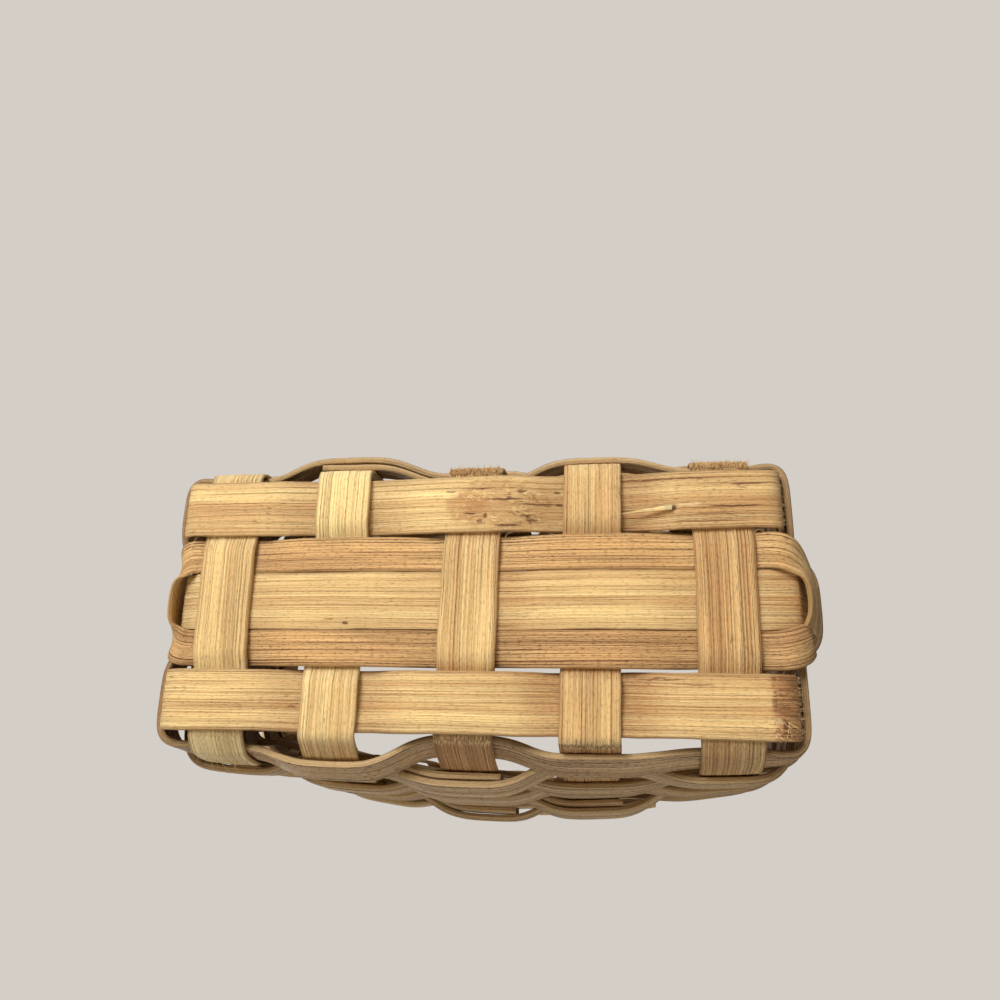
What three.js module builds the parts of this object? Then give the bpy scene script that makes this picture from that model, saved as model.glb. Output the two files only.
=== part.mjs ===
// A flat-backed wall basket plaited from flat reed, with a front that swells outwards.
// Millimetres, +Z up. The back that hangs against the wall faces +Y, the swelling front -Y.
// The origin is the middle of the underside, on the outer face of the middle crosswise stake.
import * as THREE from 'three';

// Reed stock: widths and thicknesses of the strips, and the space left where two strips cross
const STAKE_WIDTH = 15.9;
const STAKE_THICKNESS = 1.1;
const WEAVER_WIDTH = 9.5;
const WEAVER_THICKNESS = 1.9;
const RIM_COURSE_THICKNESS = 1.3;
const FILLER_WIDTH = 9.4;
const FILLER_THICKNESS = 1.2;
const CLEARANCE = 0.3;
const WEAVE_CLEARANCE = 0.42;

// Base: its length between the two ends' feet. Crosswise stakes run front to back, the rows run
// left to right. Its depth follows from the widths of the rows.
// (slant in degrees; ease is how far the front of a stake stands out of the even curve)
const BASE_LENGTH = 170;
const HALF_LENGTH = BASE_LENGTH / 2;
const CROSS_STAKES = [
  { x: HALF_LENGTH - 15, slant: 1.6, ease: 1.6 },
  { x: 0.44 * HALF_LENGTH, slant: 0.0, ease: 2.0 },
  { x: 0, slant: -1.6, ease: -0.2 },
  { x: -0.388235 * HALF_LENGTH, slant: -1.6, ease: -0.7 },
  { x: 17 - HALF_LENGTH, slant: -0.7, ease: 0.3 },
];
const ROW_EDGE_GAP = 0.3;
const ROW_SLOT = 1.3;
const RAMP_LENGTH = 5.0;
const RAMP_SETBACK = 0.15;
const RAMP_EASE = 0.1;
const CROSSING_MARGIN = 0.8;
const ROW_RAMP_STEPS = [0.3, 0.7];

// Walls: how far the stakes reach beyond the base at each height. The long walls are measured
// from the outer rows' edges, the end walls from half the base's length.
// (fall draws the front back towards the corners; ease is how much a stake's own ease counts)
const WALL_TOP = 98;
const HALF_STAKE = STAKE_WIDTH / 2;
const FILLER_Y = HALF_STAKE + ROW_EDGE_GAP + FILLER_WIDTH / 2;
const OUTER_ROW_Y = FILLER_Y + FILLER_WIDTH / 2 + ROW_SLOT + HALF_STAKE;
const HALF_DEPTH = OUTER_ROW_Y + HALF_STAKE;
const from = (edge, profile) => profile.map(({ beyond, ...rest }) => ({ reach: edge + beyond, ...rest }));
const BACK_FOOT = HALF_DEPTH + 0.25;
const BACK_PROFILE = from(HALF_DEPTH, [
  { beyond: 3.45, height: 5.2 },
  { beyond: 3.95, height: 20 },
  { beyond: 4.55, height: 45 },
  { beyond: 5.15, height: WALL_TOP },
]);
const FRONT_FOOT = HALF_DEPTH + 0.35;
const FRONT_CREASE = { run: 1.4, rise: 0.9 };
const BELLY_MIDDLE = -7.7;
const FRONT_PROFILE = from(HALF_DEPTH, [
  { beyond: 4.15, height: 5.4, fall: 0, ease: 1 },
  { beyond: 8.85, height: 13.5, fall: 0.0003, ease: 1 },
  { beyond: 13.25, height: 25, fall: 0.0008, ease: 1 },
  { beyond: 18.25, height: 40, fall: 0.0014, ease: 0.5 },
  { beyond: 22.95, height: 60, fall: 0.0019, ease: 0 },
  { beyond: 21.65, height: WALL_TOP, fall: 0.0018, ease: 0 },
]);
const LEFT_PROFILE = from(HALF_LENGTH, [
  { beyond: 0.6, height: 5.0 },
  { beyond: 2.2, height: 20 },
  { beyond: 4.4, height: 45 },
  { beyond: 6.5, height: WALL_TOP },
]);
const LEFT_MIDDLE_PROFILE = from(HALF_LENGTH, [
  { beyond: -0.7, height: 5.8 },
  { beyond: 1.8, height: 20 },
  { beyond: 4.4, height: 45 },
  { beyond: 6.5, height: WALL_TOP },
]);
const RIGHT_PROFILE = from(HALF_LENGTH, [
  { beyond: -0.8, height: 5.0 },
  { beyond: 2.0, height: 20 },
  { beyond: 5.5, height: 45 },
  { beyond: 7.5, height: WALL_TOP },
]);
const RIGHT_MIDDLE_PROFILE = from(HALF_LENGTH, [
  { beyond: 2.8, height: 6.2 },
  { beyond: 8.0, height: 18 },
  { beyond: 10.6, height: 42 },
  { beyond: 10.0, height: WALL_TOP },
]);
const END_FOLD_RADIUS = 3.8;
const MIDDLE_END_RISE = 0.8;
const BACK_FOLD_RADIUS = 3.4;
const CORNER_SPLAY = 3;
const BACK_CORNER_SPLAY = 2;
const END_SPLAY = 3;
const BACK_CORNER_TURN = 4;
const END_CORNER_TURN = 5;
const TWIST_HEIGHT = 85;

// Weaving: the height of the first course's lower edge, and the spacing of the courses
const COURSES = 9;
const FIRST_EDGE_HEIGHT = 5.4;
const COURSE_GAP = 0.75;
const END_GAP_LIFT = 1.7;
const END_LIFT_DECAY = 0.22;
const OVERLAP_INDEX = [1, 10, 3, 2, 9, 10, 11, 2];
const FIRST_COURSE_INSET = 1.6;
const FIRST_COURSE_INSET_INDEX = 10;
const BUTT_GAP = 0.6;

// Rim: two bands, a round filler reed along the top and a spiral lashing
const RIM_BAND_WIDTH = 12.7;
const RIM_BAND_THICKNESS = 2.0;
const RIM_FILLER_DIAMETER = 4.0;
const LASH_WIDTH = 5.6;
const LASH_THICKNESS = 0.9;
const LASH_STAND_OFF = 0.55;
const LASH_SIDE_GAP = 1.0;
// (each step is the share of a gap that the lashing has gone on; facing is in degrees)
const LASH_STEPS = { under: [-0.16, 0.03], up: 0.04, over: 0.14, crown: [0.17, 0.24], down: 0.34,
  low: 0.8, lowBeforeCorner: 0.57 };
const LASH_FACING = { under: [-112.5, -67.5], up: -22.5, over: 18, crown: [70, 110], down: 162, low: 202.5 };
const LASH_END_TUCK = 2.5;
const RIM_FILLER_RISE = 1.8;
const STAKE_TOP_DROP = 1.5;

// Hanging loop: a round reed with flattened legs tucked behind the weaving at two back stakes
const LOOP_DIAMETER = 4.2;
const LOOP_HEIGHT = 42;
const LOOP_LEG_WIDTH = 6.0;
const LOOP_LEG_THICKNESS = 1.3;
const LOOP_LEG_DEPTH = 26;
const LOOP_SHOULDER = 9;
const LOOP_INDEX = [1, 3];

// Colours of the reeds
const REED_COLOUR = { stake: 0xd9b377, filler: 0xb98a55, weaver: 0xc49a62, rim: 0xc8a068 };

// How finely the long curves are faceted
const MAX_WALL_STEP = 14;
const FACET_SAG = 0.09;
const RIM_FILLER_SIDES = 6;
const LOOP_SIDES = 8;
const LOOP_STEPS = 24;

const vector = (x, y, z) => new THREE.Vector3(x, y, z);
const radians = (degrees) => THREE.MathUtils.degToRad(degrees);
const mix = (a, b, t) => a + (b - a) * t;
const smooth = (t) => THREE.MathUtils.smoothstep(t, 0, 1);

// Closed bodies

// Joins sections of equal point counts into one closed body with flat ends.
function loft(sections) {
  const count = sections[0].length;
  const indices = [];
  for (let i = 0; i + 1 < sections.length; i += 1) {
    for (let j = 0; j < count; j += 1) {
      const a = i * count + j;
      const b = i * count + ((j + 1) % count);
      indices.push(a, b, b + count, a, b + count, a + count);
    }
  }
  const last = (sections.length - 1) * count;
  for (let j = 1; j + 1 < count; j += 1) {
    indices.push(0, j + 1, j, last, last + j, last + j + 1);
  }
  const geometry = new THREE.BufferGeometry();
  const positions = sections.flat().flatMap((p) => [p.x, p.y, p.z]);
  geometry.setAttribute('position', new THREE.Float32BufferAttribute(positions, 3));
  geometry.setIndex(indices);
  return geometry;
}

// Turns a run of stations into section frames. A station is a point with the way across the
// reed, or with the way its outer face looks.
function frames(stations) {
  return stations.map((station, i) => {
    const before = stations[Math.max(i - 1, 0)].point;
    const after = stations[Math.min(i + 1, stations.length - 1)].point;
    const along = after.clone().sub(before).normalize();
    const facing = station.facing ?? station.across.clone().cross(along);
    const across = along.clone().cross(facing).normalize();
    return { ...station, along, out: across.clone().cross(along), across };
  });
}

// A flat reed: a four-cornered section at every frame.
function stripThrough(sectionFrames, width, thickness) {
  const corners = [[1, -1], [1, 1], [-1, 1], [-1, -1]];
  return loft(sectionFrames.map(({ point, out, across }) => corners.map(([o, a]) => point.clone()
    .addScaledVector(out, (o * thickness) / 2)
    .addScaledVector(across, (a * width) / 2))));
}

const flatReed = (stations, width, thickness) => stripThrough(frames(stations), width, thickness);

// A reed whose section is an ellipse that may change along its length.
function roundReed(stations, sides) {
  return loft(frames(stations).map(({ point, out, across, width, thickness }) => {
    const section = [];
    for (let i = 0; i < sides; i += 1) {
      const angle = (2 * Math.PI * (i + 0.5)) / sides;
      section.push(point.clone()
        .addScaledVector(out, (Math.cos(angle) * thickness) / 2)
        .addScaledVector(across, (Math.sin(angle) * width) / 2));
    }
    return section;
  }));
}

// Base weave

// The middle group of rows (two fillers and the middle row) is woven as one row. Odd crosswise
// stakes pass outside it and inside the outer rows; even ones do the opposite.
const isOdd = (stakeIndex) => stakeIndex % 2 === 0;
const outerLevel = (thickness) => thickness / 2;
const innerLevel = (thickness, other) => other + CLEARANCE + thickness / 2;
const crossX = (stake, y) => stake.x + Math.tan(radians(stake.slant)) * y;

const OUTER_ROW_EDGE = OUTER_ROW_Y - HALF_STAKE;
const FILLER_EDGE = FILLER_Y + FILLER_WIDTH / 2;

// Height of a crosswise stake's middle above the ground at a distance y from the middle row.
// It ramps where it slips through the slot, under whichever row lies inside it.
function crossHeight(stakeIndex, y) {
  const distance = Math.abs(y);
  if (isOdd(stakeIndex)) {
    const start = OUTER_ROW_EDGE - RAMP_SETBACK - RAMP_LENGTH;
    const inner = innerLevel(STAKE_THICKNESS, STAKE_THICKNESS);
    return mix(outerLevel(STAKE_THICKNESS), inner, smooth((distance - start) / RAMP_LENGTH));
  }
  const start = FILLER_EDGE + RAMP_SETBACK;
  const inner = innerLevel(STAKE_THICKNESS, FILLER_THICKNESS);
  return mix(inner, outerLevel(STAKE_THICKNESS), smooth((distance - start) / RAMP_LENGTH));
}

function crossRampStations(stakeIndex) {
  const start = isOdd(stakeIndex)
    ? OUTER_ROW_EDGE - RAMP_SETBACK - RAMP_LENGTH
    : FILLER_EDGE + RAMP_SETBACK;
  return [0, 0.2, 0.4, 0.6, 0.8, 1].map((t) => start + t * RAMP_LENGTH);
}

// A row that lies inside a crosswise stake is lifted at the edge where that stake ramps.
function rowSeat(row, stakeIndex) {
  const outside = isOdd(stakeIndex) === row.outsideOdd;
  if (outside) {
    return { height: outerLevel(row.thickness), tilt: 0 };
  }
  const flat = STAKE_THICKNESS + CLEARANCE;
  if (row.rampEdge === undefined) {
    return { height: flat + row.thickness / 2, tilt: 0 };
  }
  const edgeTop = crossHeight(stakeIndex, row.rampEdge) + STAKE_THICKNESS / 2 + CLEARANCE;
  const rise = Math.max(edgeTop + RAMP_EASE - flat, 0);
  return { height: flat + rise / 2 + row.thickness / 2, tilt: Math.atan2(rise, row.width) * row.lift };
}

// Rows: y is the middle line; lift is the side whose edge rises, +1 for the edge towards -Y.
const ROWS = {
  back: { y: OUTER_ROW_Y, width: STAKE_WIDTH, thickness: STAKE_THICKNESS, outsideOdd: true,
    rampEdge: OUTER_ROW_EDGE, lift: 1 },
  fillerBack: { y: FILLER_Y, width: FILLER_WIDTH, thickness: FILLER_THICKNESS, outsideOdd: false,
    rampEdge: FILLER_EDGE, lift: -1 },
  middle: { y: 0, width: STAKE_WIDTH, thickness: STAKE_THICKNESS, outsideOdd: false, lift: 0 },
  fillerFront: { y: -FILLER_Y, width: FILLER_WIDTH, thickness: FILLER_THICKNESS, outsideOdd: false,
    rampEdge: FILLER_EDGE, lift: 1 },
  front: { y: -OUTER_ROW_Y, width: STAKE_WIDTH, thickness: STAKE_THICKNESS, outsideOdd: true,
    rampEdge: OUTER_ROW_EDGE, lift: -1 },
};

const tiltedAcross = (tilt) => vector(0, -Math.cos(tilt), Math.sin(tilt));

// Stations of a row across the base, from the left end (+X) to the right end.
function rowStations(row) {
  const stations = [];
  CROSS_STAKES.forEach((stake, i) => {
    const seat = rowSeat(row, i);
    const middle = crossX(stake, row.y);
    const reach = HALF_STAKE + CROSSING_MARGIN;
    if (i > 0) {
      const before = rowSeat(row, i - 1);
      const from = crossX(CROSS_STAKES[i - 1], row.y) - reach;
      const to = middle + reach;
      for (const t of ROW_RAMP_STEPS) {
        const tilt = mix(before.tilt, seat.tilt, smooth(t));
        stations.push({
          point: vector(mix(from, to, t), row.y, mix(before.height, seat.height, smooth(t))),
          across: tiltedAcross(tilt),
        });
      }
    }
    for (const side of [1, -1]) {
      stations.push({
        point: vector(middle + side * reach, row.y, seat.height),
        across: tiltedAcross(seat.tilt),
      });
    }
  });
  return stations;
}

// Walls

// A wall half of a stake: a curve up from the base edge, and the ring's way past the stake.
function wallOf(points, travel, turn) {
  const curve = new THREE.CatmullRomCurve3(points, false, 'centripetal');
  curve.arcLengthDivisions = 600;
  const length = curve.getLength();
  const pointAt = (s) => {
    if (s <= length) {
      return curve.getPointAt(Math.max(s, 0) / length);
    }
    return curve.getPointAt(1).addScaledVector(curve.getTangentAt(1), s - length);
  };
  const upAt = (s) => curve.getTangentAt(Math.min(Math.max(s / length, 0), 1));
  const travelAt = (s) => travel.clone()
    .applyAxisAngle(vector(0, 0, 1), radians(turn) * Math.min(Math.max(s / TWIST_HEIGHT, 0), 1));
  const frameAt = (s) => {
    const up = upAt(s);
    const out = travelAt(s).cross(up).normalize();
    return { point: pointAt(s), up, out, along: up.clone().cross(out) };
  };
  const chordAt = (s, width) => {
    const low = pointAt(s - width / 2);
    const high = pointAt(s + width / 2);
    const up = high.clone().sub(low).normalize();
    const out = travelAt(s).cross(up).normalize();
    return { point: low.add(high).multiplyScalar(0.5), up, out, along: up.clone().cross(out) };
  };
  let edge = 0;
  while (pointAt(edge).z < FIRST_EDGE_HEIGHT) {
    edge += 0.02;
  }
  return { pointAt, travelAt, frameAt, chordAt, edge };
}

// Points of a quarter turn from a flat base into a wall that reaches a given distance.
function foldPoints(reach, level, radius) {
  return [
    [reach - radius, level],
    [reach - radius * (1 - Math.SQRT1_2), level + radius * (1 - Math.SQRT1_2)],
  ];
}

const profilePoints = (profile) => profile.map(({ reach, height }) => [reach, height]);

// +1 for the stake next to the left corners, -1 next to the right corners, 0 between them.
const cornerSide = (index) => Number(index === 0) - Number(index === CROSS_STAKES.length - 1);

function backWall(stake, index) {
  const side = cornerSide(index);
  const level = crossHeight(index, OUTER_ROW_Y);
  const [first] = BACK_PROFILE;
  const outline = [...foldPoints(first.reach, level, BACK_FOLD_RADIUS), ...profilePoints(BACK_PROFILE)];
  const top = BACK_PROFILE.at(-1).height;
  const points = outline.map(([reach, height]) => vector(
    crossX(stake, Math.min(reach, BACK_FOOT)) + side * BACK_CORNER_SPLAY * (height / top),
    reach,
    height,
  ));
  return wallOf(points, vector(-1, 0, 0), -side * BACK_CORNER_TURN);
}

function frontWall(stake, index) {
  const side = cornerSide(index);
  const level = crossHeight(index, OUTER_ROW_Y);
  const fromMiddle = stake.x - BELLY_MIDDLE;
  const outline = [
    [FRONT_FOOT, level],
    [FRONT_FOOT + FRONT_CREASE.run, level + FRONT_CREASE.rise],
    ...FRONT_PROFILE.map(({ reach, height, fall, ease }) => [
      reach - fall * fromMiddle ** 2 + ease * stake.ease,
      height,
    ]),
  ];
  const { height: top, fall } = FRONT_PROFILE.at(-1);
  const points = outline.map(([reach, height]) => vector(
    crossX(stake, -FRONT_FOOT) + side * CORNER_SPLAY * (height / top),
    -reach,
    height,
  ));
  const turn = THREE.MathUtils.radToDeg(Math.atan(2 * fall * fromMiddle));
  return wallOf(points, vector(1, 0, 0), turn);
}

function endWall(row, side, profile) {
  const rise = row === ROWS.middle ? MIDDLE_END_RISE : 0;
  const level = rowSeat(row, side > 0 ? 0 : CROSS_STAKES.length - 1).height + rise;
  const splay = row === ROWS.front ? -END_SPLAY : 0;
  const outline = [
    ...foldPoints(profile[0].reach, level, END_FOLD_RADIUS),
    ...profilePoints(profile),
  ];
  const top = profile.at(-1).height;
  const points = outline.map(([reach, height]) => vector(
    side * reach,
    row.y + splay * (height / top),
    height,
  ));
  const turn = side * Math.sign(row.y) * END_CORNER_TURN;
  return wallOf(points, vector(0, side, 0), turn);
}

const backWalls = CROSS_STAKES.map(backWall);
const frontWalls = CROSS_STAKES.map(frontWall);
const leftWalls = [
  endWall(ROWS.back, 1, LEFT_PROFILE),
  endWall(ROWS.middle, 1, LEFT_MIDDLE_PROFILE),
  endWall(ROWS.front, 1, LEFT_PROFILE),
];
const rightWalls = [
  endWall(ROWS.back, -1, RIGHT_PROFILE),
  endWall(ROWS.middle, -1, RIGHT_MIDDLE_PROFILE),
  endWall(ROWS.front, -1, RIGHT_PROFILE),
];

// The ring goes round the basket: the back towards -X, the right end, the front, the left end.
const RING = [
  ...backWalls,
  ...rightWalls,
  ...[...frontWalls].reverse(),
  ...[...leftWalls].reverse(),
];
const wallAt = (index) => RING[((index % RING.length) + RING.length) % RING.length];
const END_GAPS = new Set([5, 6, 13, 14]);
const CORNER_GAPS = new Set([4, 7, 12, 15]);

// Courses are spaced up the wall from the first course's lower edge
const LASH_PASS = LASH_THICKNESS + 2 * LASH_STAND_OFF;
const courseHeight = (course) => (course + 0.5) * WEAVER_WIDTH + course * COURSE_GAP;
const RIM_HEIGHT = courseHeight(COURSES - 2) + WEAVER_WIDTH / 2 + LASH_PASS + RIM_BAND_WIDTH / 2;
const levelOf = (course) => (course === COURSES - 1 ? RIM_HEIGHT : courseHeight(course));

const STAKE_END = RIM_BAND_WIDTH / 2 - STAKE_TOP_DROP;

// The frame of a ring strip where it passes a stake: it lies straight along the stake's face.
// Inside the wall it lies on the chord of the curved stake, outside on the tangent.
function seatOf(index, height, width, offset) {
  const wall = wallAt(index);
  const s = wall.edge + height;
  const frame = offset > 0 ? wall.frameAt(s) : wall.chordAt(s, width);
  return { ...frame, offset, index: index % RING.length };
}

// A point past a seat: run is the distance along the face, side the distance out of the wall.
const seatPoint = (seat, run, side = seat.offset) => seat.point.clone()
  .addScaledVector(seat.along, run)
  .addScaledVector(seat.out, side);

// Point between two seats. The middle line leaves and meets the stakes along their faces, and
// the strip changes sides across it.
function between(a, b, t, side = mix(a.offset, b.offset, smooth(t))) {
  const reach = HALF_STAKE + CROSSING_MARGIN;
  const from = seatPoint(a, reach, 0);
  const to = seatPoint(b, -reach, 0);
  const pull = from.distanceTo(to);
  const t2 = t * t;
  const t3 = t2 * t;
  const out = a.out.clone().lerp(b.out, t).normalize();
  return from.clone().multiplyScalar(2 * t3 - 3 * t2 + 1)
    .addScaledVector(a.along, pull * (t3 - 2 * t2 + t))
    .addScaledVector(to, 3 * t2 - 2 * t3)
    .addScaledVector(b.along, pull * (t3 - t2))
    .addScaledVector(out, side);
}

const blendUp = (a, b, t) => a.up.clone().lerp(b.up, t).normalize();

// Stations of a strip that runs past the seats in order, with gapPoints points in each gap.
function ringStations(seats, steps, lift = () => 0) {
  const stations = [];
  seats.forEach((seat, i) => {
    if (i > 0) {
      const before = seats[i - 1];
      for (const t of steps) {
        const up = blendUp(before, seat, t);
        const raise = lift(before.index) * Math.sin(Math.PI * t);
        stations.push({ point: between(before, seat, t).addScaledVector(up, raise), across: up });
      }
    }
    const reach = HALF_STAKE + CROSSING_MARGIN;
    stations.push({ point: seatPoint(seat, -reach), across: seat.up });
    stations.push({ point: seatPoint(seat, reach), across: seat.up });
  });
  return stations;
}

// Weavers

const LAYER = WEAVER_THICKNESS + CLEARANCE;
const thicknessOf = (course) => (course === COURSES - 1 ? RIM_COURSE_THICKNESS : WEAVER_THICKNESS);
const GAP_STEPS = [0.25, 0.5, 0.75];
const isOutside = (course, index) => (course + index) % 2 !== 0;

// The loop's legs lie between the stake and the courses that pass inside it.
function weaveOffset(course, index) {
  const ring = index % RING.length;
  const offset = (STAKE_THICKNESS + thicknessOf(course)) / 2 + WEAVE_CLEARANCE;
  if (isOutside(course, ring)) {
    return offset;
  }
  if (course === 0 && ring === FIRST_COURSE_INSET_INDEX) {
    return -offset - FIRST_COURSE_INSET;
  }
  const legBottom = RIM_HEIGHT - LOOP_LEG_DEPTH;
  const legHere = LOOP_INDEX.includes(ring) && levelOf(course) + WEAVER_WIDTH / 2 > legBottom;
  return -offset - (legHere ? LOOP_LEG_THICKNESS + CLEARANCE : 0);
}

function weaverSeats(course) {
  const height = levelOf(course);
  const seat = (index, offset) => seatOf(index, height, WEAVER_WIDTH, offset);
  if (course === COURSES - 1) {
    const start = OVERLAP_INDEX[0];
    return RING.map((_, i) => seat(start + i, weaveOffset(course, start + i)))
      .concat([seat(start, weaveOffset(course, start))]);
  }
  const start = OVERLAP_INDEX[course];
  const seats = [];
  for (let i = 0; i <= RING.length + 1; i += 1) {
    const index = start + i;
    let offset = weaveOffset(course, index);
    if (i === 1) {
      offset -= LAYER;
    }
    if (i === RING.length) {
      offset += LAYER;
    }
    seats.push(seat(index, offset));
  }
  return seats;
}

function weaver(course) {
  const liftSize = Math.max(END_GAP_LIFT - END_LIFT_DECAY * course, 0);
  const lift = (index) => (END_GAPS.has(index) ? liftSize : 0);
  const seats = weaverSeats(course);
  const stations = ringStations(seats, GAP_STEPS, lift);
  if (course === COURSES - 1) {
    stations[0].point = seatPoint(seats[0], BUTT_GAP / 2);
    stations.at(-1).point = seatPoint(seats.at(-1), -BUTT_GAP / 2);
  } else {
    stations.at(-1).point = seatPoint(seats.at(-1), 0);
  }
  return flatReed(stations, WEAVER_WIDTH, thicknessOf(course));
}

// Stakes

// Distances up a wall, closer together where the stake bends more.
function wallSteps(wall, top) {
  const steps = [0];
  while (steps.at(-1) < top) {
    const s = steps.at(-1);
    let step = Math.min(MAX_WALL_STEP, top - s);
    const sag = (d) => wall.pointAt(s).lerp(wall.pointAt(s + d), 0.5).distanceTo(wall.pointAt(s + d / 2));
    while (sag(step) > FACET_SAG) {
      step *= 0.92;
    }
    steps.push(s + step);
  }
  return steps;
}

function wallStations(wall, sign) {
  const top = wall.edge + RIM_HEIGHT + STAKE_END;
  return wallSteps(wall, top).map((s) => ({
    point: wall.pointAt(s),
    across: wall.travelAt(s).multiplyScalar(sign),
  }));
}

function crossStake(index) {
  const stake = CROSS_STAKES[index];
  const slant = radians(stake.slant);
  const across = vector(Math.cos(slant), -Math.sin(slant), 0);
  const ramp = crossRampStations(index);
  const distances = [...ramp].reverse();
  const base = [...distances, 0, ...distances.map((y) => -y).reverse()].map((y) => ({
    point: vector(crossX(stake, y), y, crossHeight(index, y)),
    across,
  }));
  return flatReed([
    ...wallStations(backWalls[index], -1).reverse(),
    ...base,
    ...wallStations(frontWalls[index], 1),
  ], STAKE_WIDTH, STAKE_THICKNESS);
}

function rowStake(row, left, right) {
  return flatReed([
    ...wallStations(left, -1).reverse(),
    ...rowStations(row),
    ...wallStations(right, 1),
  ], STAKE_WIDTH, STAKE_THICKNESS);
}

// Base filler: one narrow reed that fills both sides of the middle row. It turns on edge round
// the outside of the middle row's upturned ends, and its cut ends overlap at the right end.

const LOOP_TURN = {
  left: { start: HALF_LENGTH - 4.8, reach: HALF_LENGTH + 1.9, lean: 82 },
  right: { start: HALF_LENGTH - 7.5, reach: HALF_LENGTH + 5.6, lean: 66 },
};
const LOOP_SQUARENESS = 0.78;
const LEAN_FROM = 0.3;
const LEAN_OVER = 0.7;
const FILLER_FOOT = 0.05;
const TURN_SWELL = 0.4;
const TURN_LAP = 1.6;

// angle runs from 90 degrees, where the reed lies flat at +Y, to -90 degrees at -Y.
function fillerTurn(side, turn, angles, extra = 0) {
  const seat = rowSeat(ROWS.fillerBack, side > 0 ? 0 : CROSS_STAKES.length - 1);
  const depth = turn.reach + extra - turn.start;
  return angles.map((degrees) => {
    const c = Math.cos(radians(degrees));
    const s = Math.sin(radians(degrees));
    const x = turn.start + depth * Math.abs(c) ** LOOP_SQUARENESS;
    const y = (FILLER_Y + TURN_SWELL) * Math.sign(s) * Math.abs(s) ** LOOP_SQUARENESS;
    const lean = radians(turn.lean) * smooth((Math.abs(c) - LEAN_FROM) / LEAN_OVER);
    const onEdge = FILLER_FOOT + (FILLER_THICKNESS * Math.cos(lean) + FILLER_WIDTH * Math.sin(lean)) / 2;
    const height = mix(seat.height, onEdge, smooth(Math.abs(c) / LEAN_FROM));
    const outward = vector(
      (side * Math.abs(c) ** (2 * LOOP_SQUARENESS)) / depth,
      (Math.sign(s) * Math.abs(s) ** (2 * LOOP_SQUARENESS)) / FILLER_Y,
      0,
    ).normalize();
    const across = outward.multiplyScalar(Math.cos(lean)).add(vector(0, 0, Math.sin(lean)));
    return { point: vector(side * x, y, height), across };
  });
}

function baseFiller() {
  const rightStart = fillerTurn(-1, LOOP_TURN.right, [-32, -20, -8, 8, 20, 32, 42, 52, 62, 74, 90]);
  const leftTurn = fillerTurn(1, LOOP_TURN.left, [90, 74, 62, 52, 42, 32, 20, 8, -8, -20, -32, -42,
    -52, -62, -74, -90]);
  const rightEnd = fillerTurn(-1, LOOP_TURN.right, [-90, -74, -62, -52, -44], TURN_LAP);
  const back = rowStations(ROWS.fillerBack).reverse();
  const front = rowStations(ROWS.fillerFront);
  back.forEach((station) => station.across.negate());
  return flatReed([...rightStart, ...back, ...leftTurn, ...front, ...rightEnd],
    FILLER_WIDTH, FILLER_THICKNESS);
}

// Rim

const RIM_BAND_OFFSET = STAKE_THICKNESS / 2 + WEAVE_CLEARANCE + RIM_COURSE_THICKNESS + CLEARANCE
  + RIM_BAND_THICKNESS / 2;
const RIM_STEPS = [0.33, 0.67];
const RIM_START_INDEX = 2;
const FILLER_REED_HEIGHT = RIM_BAND_WIDTH / 2 + RIM_FILLER_RISE;

function rimBand(offset) {
  const seatAt = (index) => seatOf(index, RIM_HEIGHT, RIM_BAND_WIDTH, offset);
  const seats = [...RING, RING[0]].map((_, i) => seatAt(RIM_START_INDEX + i));
  const stations = ringStations(seats, RIM_STEPS);
  stations[0].point = seatPoint(seats[0], BUTT_GAP / 2);
  stations.at(-1).point = seatPoint(seats.at(-1), -BUTT_GAP / 2);
  return flatReed(stations, RIM_BAND_WIDTH, RIM_BAND_THICKNESS);
}

// The rim's middle line as corner points. Its position counts the stakes: each stake takes the
// quarters next to its number, and the gap to the next stake takes the half between them.
const SEAT_SHARE = 0.25;
const SEAT_REACH = HALF_STAKE + CROSSING_MARGIN;
const rimSeatAt = (index) => seatOf(index, RIM_HEIGHT, RIM_BAND_WIDTH, 0);

function rimCornersPast(stake) {
  const seat = rimSeatAt(stake);
  const next = rimSeatAt(stake + 1);
  return [0, ...RIM_STEPS, 1].map((t) => ({
    position: stake + SEAT_SHARE + t * (1 - 2 * SEAT_SHARE),
    point: between(seat, next, t, 0),
    out: seat.out.clone().lerp(next.out, t).normalize(),
    up: blendUp(seat, next, t),
  }));
}

const RIM_CORNERS = [...RING, ...RING].flatMap((_, stake) => rimCornersPast(stake));

// A frame beside the rim: offset is out of the wall, height is above the rim's middle line, and
// the outer face is turned from the way out of the wall towards the way up. Its section lies
// along the rim.
function rimFrame({ position, offset, height, turned = 0 }) {
  const after = RIM_CORNERS.findIndex((corner) => corner.position > position);
  const ends = [RIM_CORNERS[after - 1], RIM_CORNERS[after]];
  const t = (position - ends[0].position) / (ends[1].position - ends[0].position);
  const [from, to] = ends.map(({ point, out, up }) => point.clone()
    .addScaledVector(out, offset)
    .addScaledVector(up, height));
  const up = ends[0].up.clone().lerp(ends[1].up, t);
  const along = to.clone().sub(from).normalize();
  const out = along.clone().cross(up).normalize();
  return {
    point: from.lerp(to, t),
    out: out.multiplyScalar(Math.cos(radians(turned))).addScaledVector(up, Math.sin(radians(turned))),
    across: along,
  };
}

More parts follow.
